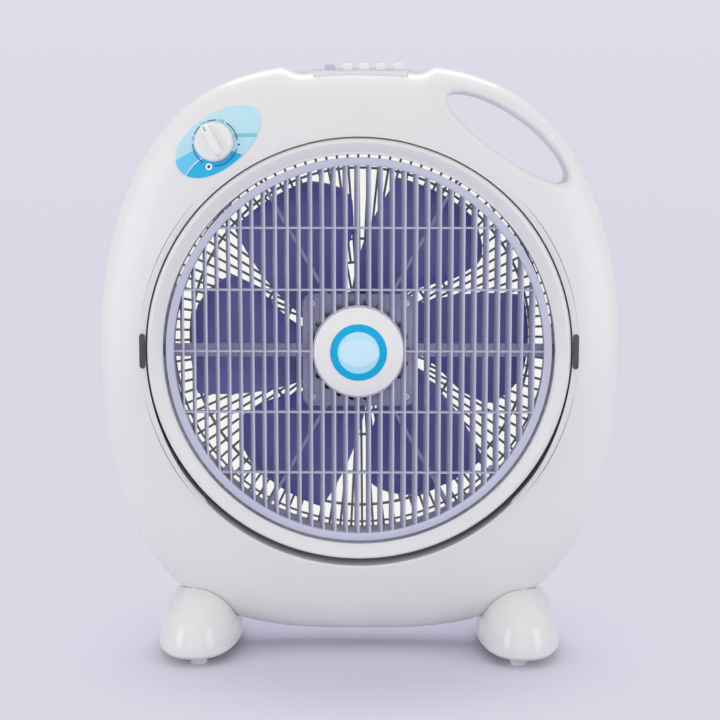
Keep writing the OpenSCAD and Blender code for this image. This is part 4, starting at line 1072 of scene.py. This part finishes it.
parts, knobAcross, knobAlong = knobParts()
piece("timerKnobGrip", parts, "knobWhite", "timer", ["timer_knob"])
markRows = [(0, 0.01595), (1, 0.01595), (1, 0.01638), (0.8, 0.01646), (0, 0.01646)]
markFoot = timerFoot + knobAlong * knobShape["markAt"]
knobAxes = (knobAcross, knobAlong, timerOut)
piece("timerKnobMark", raised(stadium(0.00045, 0.0026, 8), markRows, markFoot, knobAxes), "markInk", "timer")

# ---- keys, pivot trims and gland


def panelPaint(tree):
    # white panel with a lilac top
    _, _, z = split(tree, objectPlace(tree))
    top = float(panelBox[1][2]) - keyShape["drop"]
    speck = noise(tree, objectPlace(tree), 400.0, 2.0)
    colour = mixColour(tree, z.step(top - 0.0016, top - 0.0012), (0.80, 0.80, 0.795), (0.57, 0.58, 0.71))
    return {"Base Color": mixColour(tree, speck * 0.05, colour, (0.4, 0.4, 0.5)),
            "Roughness": 0.3 + speck * 0.1, "Normal": bump(tree, speck, 0.00001)}


finishes["panelTwoTone"] = material("panelTwoTone", panelPaint)
panelMiddle = (panelBox[0] + panelBox[1]) / 2 - [0, 0, keyShape["drop"]]
keyHalf, slots = np.array(keyShape["half"]), []
for name in keyNames:
    # cap with rounded edges over a square stem, a little sunk in the panel's slot
    low, high = boxOf(name)
    middle, top = (low + high) / 2, high[2] - keyShape["drop"]
    cap = block((middle[0], middle[1], top - keyHalf[2]), keyHalf, keyShape["round"])
    stemHalf = (0.0020, 0.0020, (top - low[2]) / 2 - 0.003)
    stem = block((middle[0], middle[1], (low[2] + top) / 2 - 0.003), stemHalf, 0.0003, 16)
    piece(name + "Cap", [cap, stem], "louvreLilac" if name == "key_off" else "knobWhite", name, [name])
    hole = keyHalf[:2] + keyShape["slot"]
    slots.append(block((middle[0], middle[1], panelMiddle[2]), (hole[0], hole[1], 0.03), 0.0008, 16))
piece("keyPanelRounded", block(panelMiddle, (panelBox[1] - panelBox[0]) / 2, 0.0018, 48), "panelTwoTone",
      "body", ["key_panel"], cutters=slots)

trimShape = {"edge": 0.2097, "well": 0.2085, "face": 0.045, "height": 0.0335}
trimWide = trimShape["edge"] - math.sqrt(trimShape["well"] ** 2 - trimShape["face"] ** 2) - 0.0004
trimRows = [(0, 0.04505), (0.97, 0.04505), (1, 0.0452), (1, 0.0461), (0.96, 0.04645), (0.8, 0.04675),
            (0.5, 0.04685), (0, 0.04685)]
trimSide = trimShape["edge"] - trimWide / 2 - 0.0002
piece("pivotTrimDomes", [raised(stadium(trimWide / 2, trimShape["height"] / 2, 14), trimRows,
                                fromDrum(side * trimSide, 0, 0), ((1, 0, 0), (0, 0, 1), frontwards))
                         for side in (-1, 1)], "trimGrey", "body", ["pivot_trims"])

print("controls ready")

# ---- floor, backdrop, camera and light

cameraPlace = (0.0211, -1.6042, 0.489)


def sweepPart():
    # flat floor, a quarter turn and an upright wall
    turn = np.linspace(0, np.pi / 2, 25)
    line = [(-4.0, 0.0), (-0.6, 0.0), (0.6, 0.0), (1.6, 0.0)]
    line += [(1.6 + math.sin(a), 1 - math.cos(a)) for a in turn[1:]] + [(2.6, 4.0)]
    across = np.linspace(-5, 5, 21)
    points = np.array([[(x, y, z - 0.0002) for x in across] for y, z in line])
    return gridPart(points, loopColumns=False, keepTurn=True)


def sweepMaterial():
    # pale floor and a glowing backdrop round it, a little paler upwards; a round patch of painted light lies
    # where the drum is seen against the backdrop from the camera
    made = bpy.data.materials.new("backdrop")
    made.use_nodes = True
    tree = made.node_tree
    shader = tree.nodes["Principled BSDF"]
    place = objectPlace(tree)
    x, y, z = split(tree, place)
    rise = z.step(0.0, 1.6)
    far = mixColour(tree, rise, tint(218, 216, 229), tint(226, 224, 234))
    depth = (y - cameraPlace[1]).math("MAXIMUM", y - cameraPlace[1], 0.05)
    aside = (x - cameraPlace[0]) / depth + 0.01315
    above = (z - cameraPlace[2]) / depth + 0.1178
    paintedLightSpot = (aside * aside + above * above) ** 0.5
    # painted light: a round pale patch on the backdrop behind the drum
    far = mixColour(tree, paintedLightSpot.step(0.150, 0.128), far, tint(245, 245, 240))
    reach = (x * x * 0.7 + y * y) ** 0.5
    share = reach.step(0.10, 0.29) * node(tree, "ShaderNodeLightPath")
    grain = noise(tree, place, 40.0, 2.0)
    plug(tree, shader.inputs["Base Color"], mixColour(tree, grain, tint(214, 212, 228), tint(217, 215, 230)))
    plug(tree, shader.inputs["Roughness"], 0.55 + grain * 0.1)
    plug(tree, shader.inputs["Specular IOR Level"], 0.25)
    glow = node(tree, "ShaderNodeEmission", None, {"Color": far, "Strength": 1.0})
    mixed = node(tree, "ShaderNodeMixShader", None, {0: share, 1: Wire(tree, shader.outputs[0]), 2: glow})
    tree.links.new(mixed.socket, tree.nodes["Material Output"].inputs["Surface"])
    return made


sweep = newObject("backdropSweep", sweepPart())
shade(sweep.data, 60)
sweep.data.materials.append(sweepMaterial())
sweep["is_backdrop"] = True


def areaLight(name, place, aim, size, power, colour=(1, 1, 1)):
    data = bpy.data.lights.new(name, "AREA")
    data.shape, data.size, data.size_y = "RECTANGLE", size[0], size[1]
    data.energy, data.color = power, colour
    thing = bpy.data.objects.new(name, data)
    bpy.context.scene.collection.objects.link(thing)
    thing.location = place
    thing.rotation_euler = (Vector(aim) - Vector(place)).to_track_quat("-Z", "Y").to_euler()


studio = {
    # name: place, size, power, colour
    "overhead": ((0.25, -0.7, 2.2), (1.8, 1.2), 1.0, (1, 1, 1)),
    "front": ((-0.1, -2.8, 0.7), (2.4, 1.2), 3.4, (1, 1, 1)),
    "right": ((1.7, -0.9, 0.8), (0.9, 1.6), 7.3, (1, 1, 1)),
    "left": ((-1.7, -0.9, 0.8), (0.9, 1.6), 7.8, (1, 1, 1)),
    "behind": ((0.0, 0.8, 2.0), (1.8, 0.8), 12.0, (1, 1, 1)),
}
ambient = 0.75
for name, (place, size, power, colour) in studio.items():
    areaLight(name, place, (0, 0, 0.30), size, power, colour)

world = bpy.data.worlds.new("softRoom")
bpy.context.scene.world = world
world.use_nodes = True
worldTree = world.node_tree
lightPath = node(worldTree, "ShaderNodeLightPath")
worldColour = mixColour(worldTree, lightPath, (ambient, ambient, ambient), tint(222, 220, 231))
for link in list(worldTree.links):
    if link.to_node.type == "OUTPUT_WORLD":
        background = link.from_node
plug(worldTree, background.inputs["Color"], worldColour)

camera = bpy.data.objects.new("camera", bpy.data.cameras.new("camera"))
bpy.context.scene.collection.objects.link(camera)
camera.location = cameraPlace
camera.rotation_euler = (math.radians(90 - 7.21), 0, math.radians(0.73))
camera.data.lens, camera.data.sensor_width = 82.4, 36
bpy.context.scene.camera = camera
bpy.context.scene.view_settings.view_transform = "Standard"

print("stage ready")

low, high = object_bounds()
